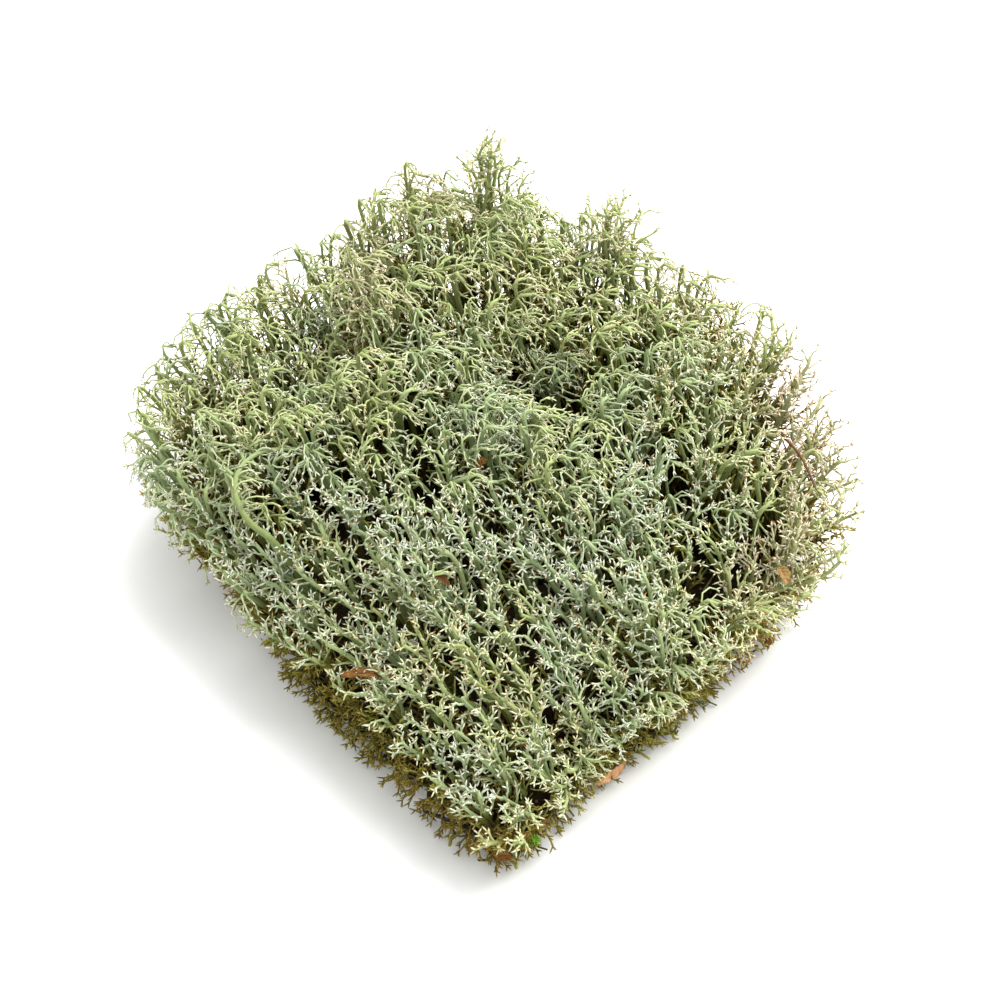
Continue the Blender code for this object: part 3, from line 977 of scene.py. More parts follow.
@dataclass
class Tuft:
    """One bundle of stems, which fork into plumes, their side boughs and their forked tips."""

    # Rank of the plumes, their order, how many boughs each carries and how many tips each of those.
    RANKS = (
        (CROWN, Order.PLUME, 8, 4),
        (WALL, Order.HANGER, 7, 4),
        (BENEATH, Order.HANGER, 4, 3),
    )
    # How much each direction counts when plumes that are near each other share a stem.
    NEARNESS = (1, 1, 0.6)

    name: str
    number: int
    cushion: Cushion
    sprouts: Sprouts
    seed: int
    plumes_per_stem: float = 3.6
    fork_depth: float = 15.0 * MM
    tip_places: tuple[float, ...] = (1.0, 1.0, 1.0, 0.60)
    tip_turns: tuple[float, ...] = (0.0, 2.1, 4.2, 1.0)

    def __post_init__(self) -> None:
        """Starts the tuft's own random numbers."""
        self.chance = np.random.default_rng(self.seed)
        tone = self.cushion.chance.normal(0, 0.10)
        self.tone = float(np.clip(self.regional_tone() + tone, 0, 1))

    def regional_tone(self) -> float:
        """The lichen's tone here: 0 is cool grey-green, a half is yellow-green and 1 is a rosy grey."""
        x, y, _ = self.cushion.apexes[self.number]
        right = smoothstep(35 * MM, 75 * MM, np.array(x))
        left = smoothstep(-25 * MM, -60 * MM, np.array(x))
        back = smoothstep(5 * MM, 60 * MM, np.array(y))
        return float(0.12 + 0.68 * right + 0.04 * left + 0.32 * back * (1 - right))

    def life_at(self, places: Array, spread: float) -> Array:
        """How alive the lichen is: none near the ground, and full in the upper half of the clump."""
        top = self.cushion.top(places.reshape(-1, 3)).reshape(places.shape[:-1])
        return smoothstep(0.16, 0.70, places[..., 2] / np.maximum(top, MM) + spread)

    def share_out(self) -> tuple[Array, Array, Array]:
        """Shares the plumes out between stems, those that are near each other to the same one.

        Returns:
            For every sprout the number of its stem, and for every stem the middle of its plumes'
            places and the way that they lean.
        """
        sprouts = self.sprouts
        wanted = max(2, round(len(sprouts.places) / self.plumes_per_stem))
        ones = np.ones(len(sprouts.places))
        heads = farthest_first(sprouts.places * self.NEARNESS, ones, 0.0, wanted)
        apart = (sprouts.places[:, None] - sprouts.places[None, heads]) * self.NEARNESS
        owner = np.linalg.norm(apart, axis=2).argmin(axis=1)
        n = len(heads)
        carried = np.bincount(owner, minlength=n)[:, None].astype(float)
        target, body = np.zeros((n, 3)), np.zeros((n, 3))
        np.add.at(target, owner, sprouts.places)
        np.add.at(body, owner, sprouts.body)
        return owner, target / carried, unit(body)

    def grow_stems(self) -> tuple[Branches, Array]:
        """Main stems, each rising from the mat to a fork under the plumes that it carries.

        Returns:
            The stems, and for every sprout the number of its stem.
        """
        cushion, chance = self.cushion, self.chance
        owner, target, body = self.share_out()
        n = len(target)
        depth = np.minimum(self.fork_depth, 0.5 * target[:, 2])[:, None]
        depth = depth * chance.uniform(0.75, 1.2, (n, 1))
        ends = target - depth * unit(body + 0.35 * UP)
        ends[:, 2] = np.maximum(ends[:, 2], cushion.mat_top + 1.5 * MM)
        ends = cushion.inside(ends, 0.90)
        root = cushion.roots[self.number]
        feet = root + 0.55 * (ends - root) + chance.normal(0, 1.8 * MM, (n, 3))
        feet[:, 2] = cushion.mat_top - 1.5 * MM
        feet = cushion.inside(feet, 0.93)
        length = np.linalg.norm(ends - feet, axis=1)[:, None]
        leave = feet + 0.36 * length * unit(UP + chance.normal(0, 0.38, (n, 3)))
        arrive = ends - 0.36 * length * unit(0.8 * body + 0.5 * UP)
        path = bezier(feet, leave, arrive, ends, Order.STEM.steps)
        radius = Order.STEM.tapered() * chance.uniform(0.8, 1.15, (n, 1))
        age = 0.05 + 0.32 * even(Order.STEM.steps) + np.zeros((n, 1))
        tint = np.clip(self.tone + chance.normal(0, 0.12, n), 0, 1)
        return Branches(path, radius, age, self.life_at(path, 0.05), tint), owner

    def grow_plumes(self, stems: Branches, owner: Array, sprouts: Sprouts, order: Order) -> Branches:
        """Plumes: curves that leave their stem near its end and arrive at their sprout along its hook."""
        chance = self.chance
        n = len(owner)
        share = np.where(chance.random(n) < 0.30, 1.0, chance.uniform(0.50, 0.97, n))
        start, heading = stems.at(owner, share)
        ends = sprouts.places
        length = np.linalg.norm(ends - start, axis=1)[:, None]
        way = unit(heading + 0.55 * sprouts.body + chance.normal(0, 0.16, (n, 3)))
        leave = start + 0.34 * length * way
        arch = 0.42 * length * (1 - 0.40 * sprouts.openness[:, None])
        arrive = ends - arch * unit(sprouts.hook + 0.12 * sprouts.body)
        path = bezier(start, leave, arrive, ends, order.steps)
        inside = along(stems.radius[owner], share)[:, None]
        girth = chance.uniform(0.85, 1.2, (n, 1)) * np.clip(sprouts.size, 0.8, 1.2)[:, None]
        radius = order.within(0.95 * inside) * girth
        age = 0.36 + 0.26 * even(order.steps) + np.zeros((n, 1))
        turn, away = self.cushion.polar(ends)
        rim = 0.55 * smoothstep(0.84, 1.0, away / self.cushion.reach(turn, ends[:, 2]))
        wall, beneath = sprouts.rank == WALL, sprouts.rank == BENEATH
        # Partly painted shade: the life taken away here browns and darkens the plumes on the side turned
        # from the key light and the plumes beneath the crown, on top of their real dying.
        lost_and_shaded = self.cushion.fade(ends) * np.where(wall, 1.0, rim) + 0.26 * beneath
        uneven = np.where(sprouts.rank == CROWN, 0.05, 0.13)[:, None]
        life = self.life_at(path, uneven * chance.normal(0, 1, (n, 1)) - lost_and_shaded[:, None])
        tint = np.clip(stems.tint[owner] + chance.normal(0, 0.08, n) + 0.25 * wall, 0, 1)
        return Branches(path, radius, age, life, tint)

    def bough_sides(self, heading: Array, hook: Array, openness: Array, rank: Array) -> Array:
        """The side that each bough leaves to.

        On an arch the boughs stand alternately to one side and the other of its back, and on an
        open fork they stand all round.

        Args:
            heading: the plume's heading where the bough leaves, (n, 3).
            hook: the way the plume arrives, (n, 3).
            openness: how far its forks open, (n, 1).
            rank: the bough's number along its plume, (n,).

        Returns:
            Unit vectors square to the headings, (n, 3).
        """
        chance = self.chance
        n, each = len(rank), rank.max() + 1
        back = -(hook - dots(hook, heading)[:, None] * heading)
        weak = np.linalg.norm(back, axis=1, keepdims=True) < 0.25
        back = unit(np.where(weak, across(heading), back))
        beside = np.cross(heading, back)
        comb = np.where(rank % 2 == 0, 1, -1) * np.radians(chance.uniform(25, 115, n))
        ring = rank * GOLDEN_ANGLE + chance.normal(0, 0.3, n)
        ring = ring + np.repeat(chance.uniform(0, 6, n // each), each)
        turn = np.where(openness > 0.3, ring[:, None], comb[:, None])
        return np.cos(turn) * back + np.sin(turn) * beside

    def grow_boughs(self, plumes: Branches, sprouts: Sprouts, each: int) -> tuple[Branches, Array]:
        """Side boughs: a comb along the upper part of every plume.

        Each leaves at about 45 degrees and bends towards the plume's own hook.

        Args:
            plumes: the plumes.
            sprouts: how each of them grows.
            each: how many boughs a plume carries.

        Returns:
            The boughs, and the number of the plume of each.
        """
        chance = self.chance
        rows = np.repeat(np.arange(plumes.count), each)
        n = len(rows)
        rank = np.tile(np.arange(each), plumes.count)
        share = 0.36 + 0.64 * (rank + 0.5) / (each - 0.5) + chance.normal(0, 0.025, n)
        share = np.clip(share, 0.3, 1.0)
        start, heading = plumes.at(rows, share)
        hook, openness = sprouts.hook[rows], sprouts.openness[rows][:, None]
        side = self.bough_sides(heading, hook, openness, rank)
        spread = (0.58 + 0.42 * openness) * chance.uniform(0.75, 1.3, (n, 1))
        leaving = unit(heading + spread * side)
        arched = 1.05 * hook + 0.35 * side - 0.60 * UP
        forked = 0.90 * leaving + 0.30 * UP + 0.25 * side
        settle = unit((1 - openness) * arched + openness * forked + chance.normal(0, 0.20, (n, 3)))
        size = sprouts.size[rows] * chance.uniform(0.72, 1.28, n)
        length = (size * (7.5 - 4.5 * share - (2.6 - 1.9 * share) * openness[:, 0]) * MM)[:, None]
        ends = start + length * unit(0.62 * leaving + 0.62 * settle)
        steps = Order.BOUGH.steps
        path = bezier(start, start + 0.48 * length * leaving, ends - 0.44 * length * settle, ends, steps)
        path[:, 1:-1] += 0.05 * length[:, None] * chance.normal(0, 1, (n, steps - 2, 3))
        path[..., 2] = np.maximum(path[..., 2], 0.6 * MM)
        t = even(steps)
        inside = along(plumes.radius[rows], share)[:, None]
        girth = (0.80 + 0.20 * openness) * chance.uniform(0.85, 1.15, (n, 1))
        radius = Order.BOUGH.within(0.9 * inside) * girth
        age = 0.60 + 0.22 * t + np.zeros((n, 1))
        life = along(plumes.life[rows], share)[:, None] + 0 * t
        return Branches(path, radius, age, life, plumes.tint[rows]), rows

    def grow_tips(self, boughs: Branches, sprouts: Sprouts, rows: Array, most: int = 4) -> Branches:
        """Tips: three fork from the end of every bough, and a fourth leaves it part of the way along."""
        chance = self.chance
        places = np.array(self.tip_places)[:most]
        turns = np.array(self.tip_turns)[:most]
        each = len(places)
        parents = np.repeat(np.arange(boughs.count), each)
        n = len(parents)
        share = np.tile(places, boughs.count)
        share = np.where(share < 1, share + chance.uniform(-0.2, 0.2, n), 1.0)
        start, heading = boughs.at(parents, share)
        own = sprouts.picked(rows[parents])
        hook, openness, size = own.hook, own.openness, own.size
        spin = np.repeat(chance.uniform(0, math.tau, boughs.count), each)
        turn = np.tile(turns, boughs.count) + spin + chance.normal(0, 0.3, n)
        swing = chance.uniform(0.40, 0.80, n) + 0.22 * openness
        leaving = tilted(heading, swing, turn)
        pull = (0.55 - 0.40 * openness)[:, None] * hook
        settle = unit(leaving + pull + 0.20 * UP + chance.normal(0, 0.15, (n, 3)))
        usual = chance.uniform(0.85, 1.6, n) + 0.45 * openness
        length = (usual * MM * (0.75 + 0.25 * size))[:, None]
        ends = start + length * unit(leaving + settle)
        steps = Order.TIP.steps
        path = bezier(start, start + 0.35 * length * leaving, ends - 0.30 * length * settle, ends, steps)
        path[..., 2] = np.maximum(path[..., 2], 0.5 * MM)
        path[:, 1] += 0.25 * (path[:, 2] - path[:, 1])
        t = even(steps)
        inside = along(boughs.radius[parents], share)[:, None]
        radius = Order.TIP.within(inside) * (0.85 + 0.15 * openness[:, None])
        brown = chance.random((n, 1)) < 0.55 - 0.22 * openness[:, None]
        age = np.where(brown, 0.82 + 0.17 * t**0.3, 0.82 + 0.11 * t)
        life = boughs.life[parents, -1][:, None] + 0 * t
        return Branches(path, radius, age, life, boughs.tint[parents])

    def grow_spurs(self, stems: Branches, each: int) -> Branches:
        """Spurs: short crooked side branches low on the main stems, most of them dead."""
        chance = self.chance
        rows = np.repeat(np.arange(stems.count), each)
        n = len(rows)
        share = chance.uniform(0.15, 1.0, n)
        start, heading = stems.at(rows, share)
        leaving = tilted(heading, chance.uniform(0.6, 1.3, n), chance.uniform(0, math.tau, n))
        length = chance.uniform(3.0, 8.5, (n, 1)) * MM
        settle = unit(leaving + 0.5 * UP + chance.normal(0, 0.45, (n, 3)))
        ends = start + length * unit(leaving + settle)
        ends[:, 2] = np.maximum(ends[:, 2], 0.8 * MM)
        steps = Order.SPUR.steps
        path = bezier(start, start + 0.4 * length * leaving, ends - 0.3 * length * settle, ends, steps)
        t = even(steps)
        radius = Order.SPUR.tapered() * chance.uniform(0.8, 1.4, (n, 1))
        age = 0.45 + 0.3 * t + np.zeros((n, 1))
        life = 0.9 * along(stems.life[rows], share)[:, None] + 0 * t
        return Branches(path, radius, age, life, stems.tint[rows])

    def build(self, material: bpy.types.Material) -> bpy.types.Object:
        """Grows the tuft order by order and joins it into one piece that stands for its solid."""
        sprouts = self.sprouts
        stems, owner = self.grow_stems()
        parts = [stems.tubes(Order.STEM.sides)]
        for rank, order, bough_count, tip_count in self.RANKS:
            chosen = sprouts.rank == rank
            if not chosen.any():
                continue
            some = sprouts.picked(chosen)
            plumes = self.grow_plumes(stems, owner[chosen], some, order)
            boughs, rows = self.grow_boughs(plumes, some, bough_count)
            tips = self.grow_tips(boughs, some, rows, tip_count)
            parts += [plumes.tubes(order.sides), boughs.tubes(Order.BOUGH.sides)]
            parts.append(tips.tubes(Order.TIP.sides, pointed=True))
        behind = self.cushion.apexes[self.number, 1] > 25 * MM
        parts.append(self.grow_spurs(stems, 10 if behind else 6).tubes(Order.SPUR.sides))
        shell = Shell.joined(parts)
        piece = make_piece(self.name + "_stems", shell, material)
        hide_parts(self.name)
        LOG.info("%s: %d plumes, %d triangles", self.name, len(sprouts.places), shell.triangles())
        return piece


# ---------------------------------------------------------------------------------------------
# The base mat
# ---------------------------------------------------------------------------------------------


@dataclass
class BaseMat:
    """The mat of dead stem bases and humus: a lumpy slab cut flat underneath, bristling with stems."""

    # Bearing in degrees, and how far the mat's edge is set back from the CAD mat's there, mm.
    SET_BACK = (
        (0, 3.0), (20, 0.0), (150, 0.0), (170, 8.0), (186, 12.0), (203, 7.5),
        (216, 4.5), (240, 6.0), (258, 6.5), (270, -0.5), (282, 0.0), (325, 0.5),
    )

    # The slab's profile, from the cut face out and back over the top: share of reach, height in mm.
    PROFILE = (
        (0.35, 0.0), (0.70, 0.0), (0.90, 0.0), (0.965, 0.0), (0.99, 0.6), (1.0, 1.6), (0.995, 2.8),
        (0.97, 3.7), (0.92, 4.4), (0.80, 5.2), (0.60, 5.6), (0.35, 5.9), (0.12, 5.8),
    )

    turns: int = 180
    bins: int = 48
    inset: float = 5.0 * MM
    bristles: int = 1000
    rim_share: float = 0.62
    lowest: float = 0.45 * MM
    old_stems: int = 720
    seed: int = 7

    def outline(self, turn: Array) -> Array:
        """How far the CAD mat reaches from its middle in each direction, read from its edge points."""
        points = node_points("dead_base_mat")
        middle = points[:, :2].mean(axis=0)
        edge = points[:, :2] - middle
        angle = np.arctan2(edge[:, 1], edge[:, 0])
        reach = np.linalg.norm(edge, axis=1)
        near = np.round(angle / math.tau * self.bins).astype(int) % self.bins
        far = np.zeros(self.bins)
        np.maximum.at(far, near, reach)
        filled = far > 0
        centres = np.arange(self.bins) * math.tau / self.bins
        self.middle = middle
        full = np.interp(turn % math.tau, centres[filled], far[filled], period=math.tau)
        return full - by_bearing(self.SET_BACK, turn) * MM

    def slab(self) -> Shell:
        """The slab itself.

        Every direction has one profile: along the flat cut face, out round a bulging edge, and back
        over the top. A point is the outline's reach times the profile's share, at the profile's
        height, pushed by three waves that differ around the edge.

        Returns:
            Its closed shell.
        """
        turn = np.arange(self.turns) * math.tau / self.turns
        reach = self.outline(turn) - self.inset
        share, height = np.array(self.PROFILE).T
        height = height * MM
        waves = 0.5 * np.sin(9 * turn + 1) + 0.3 * np.sin(17 * turn + 2) + 0.3 * np.sin(31 * turn)
        edge = np.exp(-(((height - 3 * MM) / (2.2 * MM)) ** 2))[:, None] * (share > 0.9)[:, None]
        out = share[:, None] * reach[None] + 0.8 * MM * edge * waves[None]
        x = self.middle[0] + out * np.cos(turn)[None]
        y = self.middle[1] + out * np.sin(turn)[None]
        lumps = np.sin(x * 900) * np.cos(y * 760 + 1) + 0.6 * np.sin(x * 410 + y * 530)
        z = height[:, None] + 0.35 * MM * lumps * (height > 3 * MM)[:, None]
        rings = np.stack([x, y, z], axis=-1)
        rows, sides = rings.shape[:2]
        low = np.array([[*self.middle, 0.0]])
        high = np.array([[*self.middle, height[-1]]])
        points = np.concatenate([low, rings.reshape(-1, 3), high])
        near = np.arange(sides)
        far = (near + 1) % sides
        quads = ring_quads(rows, sides, 1)
        last = 1 + (rows - 1) * sides
        under = np.stack([1 + far, 1 + near, np.zeros(sides, int)], axis=-1)
        over = np.stack([last + near, last + far, np.full(sides, len(points) - 1)], axis=-1)
        flat = np.zeros(len(points))
        return Shell(points, [quads.reshape(-1, 4), under, over], flat, flat, flat, flat)

    def bristle(self) -> Branches:
        """Broken dead stems that lean out of the edge and lie over the top, at all angles."""
        chance = np.random.default_rng(self.seed)
        n = self.bristles
        turn = chance.uniform(0, math.tau, n)
        reach = self.outline(turn)
        rim = chance.random(n) < self.rim_share
        share = np.where(rim, chance.uniform(0.87, 0.93, n), np.sqrt(chance.uniform(0.0, 0.86, n)))
        out = compass(turn)
        start = out * (share * reach)[:, None]
        start[:, :2] += self.middle
        start[:, 2] = np.where(rim, chance.uniform(0.6, 4.2, n), 5.0) * MM
        side = np.stack([-out[:, 1], out[:, 0], out[:, 2]], axis=1) * chance.normal(0, 0.8, (n, 1))
        rise = chance.uniform(-0.15, 1.1, (n, 1)) * UP
        lying = chance.normal(0, 0.7, (n, 3)) * [1, 1, 0]
        way = unit(np.where(rim[:, None], 0.9 * out, lying) + side + rise)
        way[:, 2] = np.where(rim, way[:, 2], np.abs(way[:, 2]) + 0.2)
        way = unit(way)
        length = chance.uniform(2.5, 6.5, (n, 1)) * MM
        ends = start + length * way + chance.normal(0, 0.5 * MM, (n, 3))
        ends[:, 2] = np.maximum(ends[:, 2], 0.5 * MM)
        bend = chance.normal(0, 0.28, (n, 3)) * length
        path = bezier(start, start + 0.35 * length * way, ends - 0.3 * length * way + bend, ends, 5)
        path[..., 2] = np.maximum(path[..., 2], self.lowest)
        t = even(5)
        stout = chance.random((n, 1)) < 0.14
        radius = np.where(stout, 0.62, chance.uniform(0.20, 0.48, (n, 1))) * MM * (1 - 0.45 * t)
        age = np.where(stout, 0.85, chance.uniform(0.20, 0.85, (n, 1))) + 0 * t
        right = smoothstep(-0.2, 0.5, np.cos(turn + math.radians(45)))[:, None]
        life = chance.uniform(0.0, 0.55, (n, 1)) * (1 + 0.8 * right) + 0 * t
        return Branches(path, radius, age, life, chance.random(n))

    def thatch(self) -> Branches:
        """Old bare stems that stand close together behind, under the living crown."""
        chance = np.random.default_rng(self.seed + 1)
        n = self.old_stems
        turn = np.radians(chance.uniform(8, 172, n))
        out = compass(turn)
        away = (self.outline(turn) * chance.uniform(0.70, 0.93, n))[:, None]
        start = out * away + [*self.middle, 4.5 * MM]
        length = chance.uniform(14.0, 27.0, (n, 1)) * MM * (0.85 + 0.35 * np.sin(turn)[:, None])
        way = unit(UP + 0.10 * out + chance.normal(0, 0.14, (n, 3)))
        ends = start + length * way
        bend = chance.normal(0, 0.12, (n, 3)) * length
        path = bezier(start, start + 0.35 * length * way + bend, ends - 0.3 * length * way - bend, ends, 6)
        t = even(6)
        radius = chance.uniform(0.45, 0.75, (n, 1)) * MM * (1 - 0.35 * t)
        age = 0.10 + 0.35 * t + chance.uniform(0, 0.12, (n, 1))
        life = chance.uniform(0.1, 0.5, (n, 1)) + 0.25 * t
        return Branches(path, radius, age, life, chance.random(n))

    def build(self, humus: bpy.types.Material, lichen: bpy.types.Material) -> None:
        """Makes the slab and its bristles, which stand for the CAD mat."""
        slab = make_piece("base_humus", self.slab(), humus)
        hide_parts("dead_base_mat")
        shell = Shell.joined([self.bristle().tubes(4), self.thatch().tubes(3)])
        bristles = make_piece("base_dead_stems", shell, lichen)
        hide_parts("dead_base_mat")
        LOG.info("base mat: %d triangles of dead stems", shell.triangles())


# ---------------------------------------------------------------------------------------------
# The curled stem and the litter
# ---------------------------------------------------------------------------------------------


def through(knots: Array, steps: int) -> Array:
    """A smooth curve through knots: cubic pieces whose slopes are half the neighbours' difference."""
    place = np.linspace(0, len(knots) - 1, steps)
    low = np.minimum(place.astype(int), len(knots) - 2)
    t = (place - low)[:, None]
    slope = np.gradient(knots, axis=0)
    slope[[0, -1]] *= 0.5
    a, b = knots[low], knots[low + 1]
    leave, arrive = slope[low], slope[low + 1]
    cubic = 2 * a - 2 * b + leave + arrive
    square = 3 * b - 3 * a - 2 * leave - arrive
    return ((cubic * t + square) * t + leave) * t + a


def settled(points: Array, node: str, moved: tuple[float, float, float]) -> Array:
    """Shifts points so that the middle of their box lies off that of a CAD node's box by mm in X, Y, Z."""
    flat = points.reshape(-1, 3)
    middle = (flat.min(axis=0) + flat.max(axis=0)) / 2
    return points + node_middle(node) - middle + np.array(moved) * MM


def turned(points: Array, degrees: float, axis: int) -> Array:
    """Turns points about X (0), Y (1) or Z (2)."""
    angle = math.radians(degrees)
    a, b = [(1, 2), (2, 0), (0, 1)][axis]
    made = points.copy()
    made[..., a] = math.cos(angle) * points[..., a] - math.sin(angle) * points[..., b]
    made[..., b] = math.sin(angle) * points[..., a] + math.cos(angle) * points[..., b]
    return made


class CurledStem(Tuft):
    """The thick stem that arches clear of its tuft at the left, with its own comb of boughs."""

    # Knots of its free curve, how far that is moved to rest on the crown, and from there to its foot; mm.
    KNOTS = (
        (-49.0, -11.0, 56.0),
        (-56.0, -6.0, 60.0),
        (-58.0, 2.0, 62.0),
        (-54.0, 9.0, 62.0),
        (-47.0, 12.0, 60.0),
    )
    MOVED = (3.0, 0.0, -2.5)
    FOOT = (6.0, -1.0, -15.0)

    def build(self, material: bpy.types.Material) -> bpy.types.Object:
        """Grows the stem along its curve and makes it one piece."""
        steps, boughs_wanted = 30, 13
        free = settled(through(np.array(self.KNOTS) * MM, 6), self.name, self.MOVED)
        foot = free[0] + np.array(self.FOOT) * MM
        path = through(np.concatenate([foot[None], free]), steps)[None]
        t = even(steps)
        radius = (0.80 - 0.42 * t) * MM
        stem = Branches(path, radius, 0.34 + 0.26 * t, 1 - 0.12 * (1 - t), np.array([self.tone]))
        end = unit(np.array([[0.8, -0.2, -0.5]]))
        closed, size = np.zeros(1), np.full(1, 0.95)
        sprouts = Sprouts(path[:, -1], end, UP[None], closed, np.full(1, CROWN), size)
        boughs, rows = self.grow_boughs(stem, sprouts, boughs_wanted)
        tips = self.grow_tips(boughs, sprouts, rows)
        parts = [stem.tubes(10), boughs.tubes(4), tips.tubes(4, pointed=True)]
        piece = make_piece(self.name + "_lichen", Shell.joined(parts), material)
        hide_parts(self.name)
        return piece


@dataclass(frozen=True)
class Flake:
    """A thin torn scrap of leaf, bark or bud: cupped, bowed along its length, with a ragged edge.

    Turn, tilt and stand are degrees about Z, Y and X, and moved is in mm from its CAD node's middle.
    """

    node: str
    slot: str
    length: float
    width: float
    turn: float
    tilt: float = 0.0
    stand: float = 0.0
    ragged: float = 0.16
    thickness: float = 0.32 * MM
    moved: tuple[float, float, float] = (0.0, 0.0, 0.0)

    def sections(self) -> Array:
        """Closed sections across the scrap, (m, s, 3), its upper side first and its under side back.

        The half-width is sin(pi (0.06 + 0.88 u))^0.7 with three waves for the torn edge. The middle
        line sags by (2u - 1)^2, the sides lift by |v|^1.6, and two waves wrinkle the whole.
        """
        u = np.linspace(0, 1, 45)[:, None]
        v = np.linspace(-1, 1, 15)[None]
        tear = 0.5 * np.sin(19 * u + 2 * v) + 0.35 * np.sin(37 * u - v) + 0.25 * np.sin(71 * u + 3 * v)
        half = 0.5 * self.width * np.sin(math.pi * (0.06 + 0.88 * u)) ** 0.7 * (1 + self.ragged * tear)
        x = self.length * (u - 0.5) + 0 * v
        y = half * v + 0.10 * self.width * np.sin(5 * u)
        bow = -0.10 * self.length * (2 * u - 1) ** 2
        lift = 0.16 * self.width * np.abs(v) ** 1.6
        wrinkle = 0.035 * self.width * (np.sin(17 * u + 4 * v) + np.sin(29 * u - 7 * v))
        top = np.stack([x, y, bow + lift + wrinkle], axis=-1)
        thin = self.thickness * (1 - 0.72 * v**4) * np.ones_like(u)
        under = top - thin[..., None] * UP
        return np.concatenate([top, under[:, ::-1]], axis=1)

    def build(self, material: bpy.types.Material) -> bpy.types.Object:
        """Makes the scrap where its CAD node lies."""
        rings = self.sections()
        rings = turned(turned(turned(rings, self.stand, 0), self.tilt, 1), self.turn, 2)
        rings = settled(rings, self.node, self.moved)
        m, s, _ = rings.shape
        near = np.arange(s)
        quads = ring_quads(m, s)[..., [0, 3, 2, 1]].reshape(-1, 4)
        faces = [quads, near[None], near[None, ::-1] + (m - 1) * s]
        age = np.repeat(np.linspace(0, 1, m), s)
        width = np.linspace(0, 1, s // 2)
        life = np.tile(np.concatenate([width, width[::-1]]), m)
        flat = np.zeros(m * s)
        shell = Shell(rings.reshape(-1, 3), faces, age, life, flat, flat)
        piece = make_piece(self.node + "_scrap", shell, material)
        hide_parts(self.node)
        return piece


@dataclass(frozen=True)
class Rod:
    """A needle, a rotten twig or a moss sprig: one curved stalk, and what grows from it.

    Knots are in mm, and moved is in mm from its CAD node's middle.
    """

    node: str
    slot: str
    knots: tuple[tuple[float, float, float], ...]
    radii: tuple[float, float]
    side_count: int = 0
    side_length: float = 0.0
    side_radius: float = 0.0
    side_angle: float = 0.9
    wobble: float = 0.0
    moved: tuple[float, float, float] = (0.0, 0.0, 0.0)
    seed: int = 3

    def build(self, material: bpy.types.Material) -> bpy.types.Object:
        """Makes the rod where its CAD node lies: its stalk, then its side shoots or leaves."""
        chance = np.random.default_rng(self.seed)
        steps = 20
        t = even(steps)
        path = settled(through(np.array(self.knots) * MM, steps), self.node, self.moved)[None]
        path = path + self.wobble * chance.normal(0, 1, path.shape)
        first, last = self.radii
        radius = first + (last - first) * t
        radius = radius * (1 - 0.75 * smoothstep(0.9, 1.0, t)) * (1 + 0.12 * np.sin(31 * t))
        stalk = Branches(path, radius, t, 0.5 + 0 * t, np.zeros(1))
        parts = [stalk.tubes(8, pointed=True)]
        if self.side_count:
            parts.append(self.sides(stalk, chance).tubes(4, pointed=True))
        shell = Shell.joined(parts)
        shell.life = 0.2 + 0.6 * shell.around
        piece = make_piece(self.node + "_scrap", shell, material)
        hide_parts(self.node)
        return piece

    def sides(self, stalk: Branches, chance: np.random.Generator) -> Branches:
        """Side shoots or narrow leaves, set round the stalk by the golden angle."""
        n = self.side_count
        share = np.linspace(0.12, 1.0, n)
        rows = np.zeros(n, int)
        start, heading = stalk.at(rows, share)
        leaving = tilted(heading, self.side_angle + chance.normal(0, 0.15, n), GOLDEN_ANGLE * np.arange(n))
        length = self.side_length * chance.uniform(0.6, 1.2, (n, 1))
        settle = unit(leaving + 0.5 * heading + chance.normal(0, 0.15, (n, 3)))
        ends = start + length * unit(leaving + settle)
        path = bezier(start, start + 0.4 * length * leaving, ends - 0.3 * length * settle, ends, 6)
        t = even(6)
        radius = self.side_radius * np.sin(math.pi * (0.25 + 0.70 * t)) * np.ones((n, 1))
        age = 0.3 + 0.7 * t + np.zeros((n, 1))
        return Branches(path, radius, age, 0.5 + 0 * age, np.zeros(n))


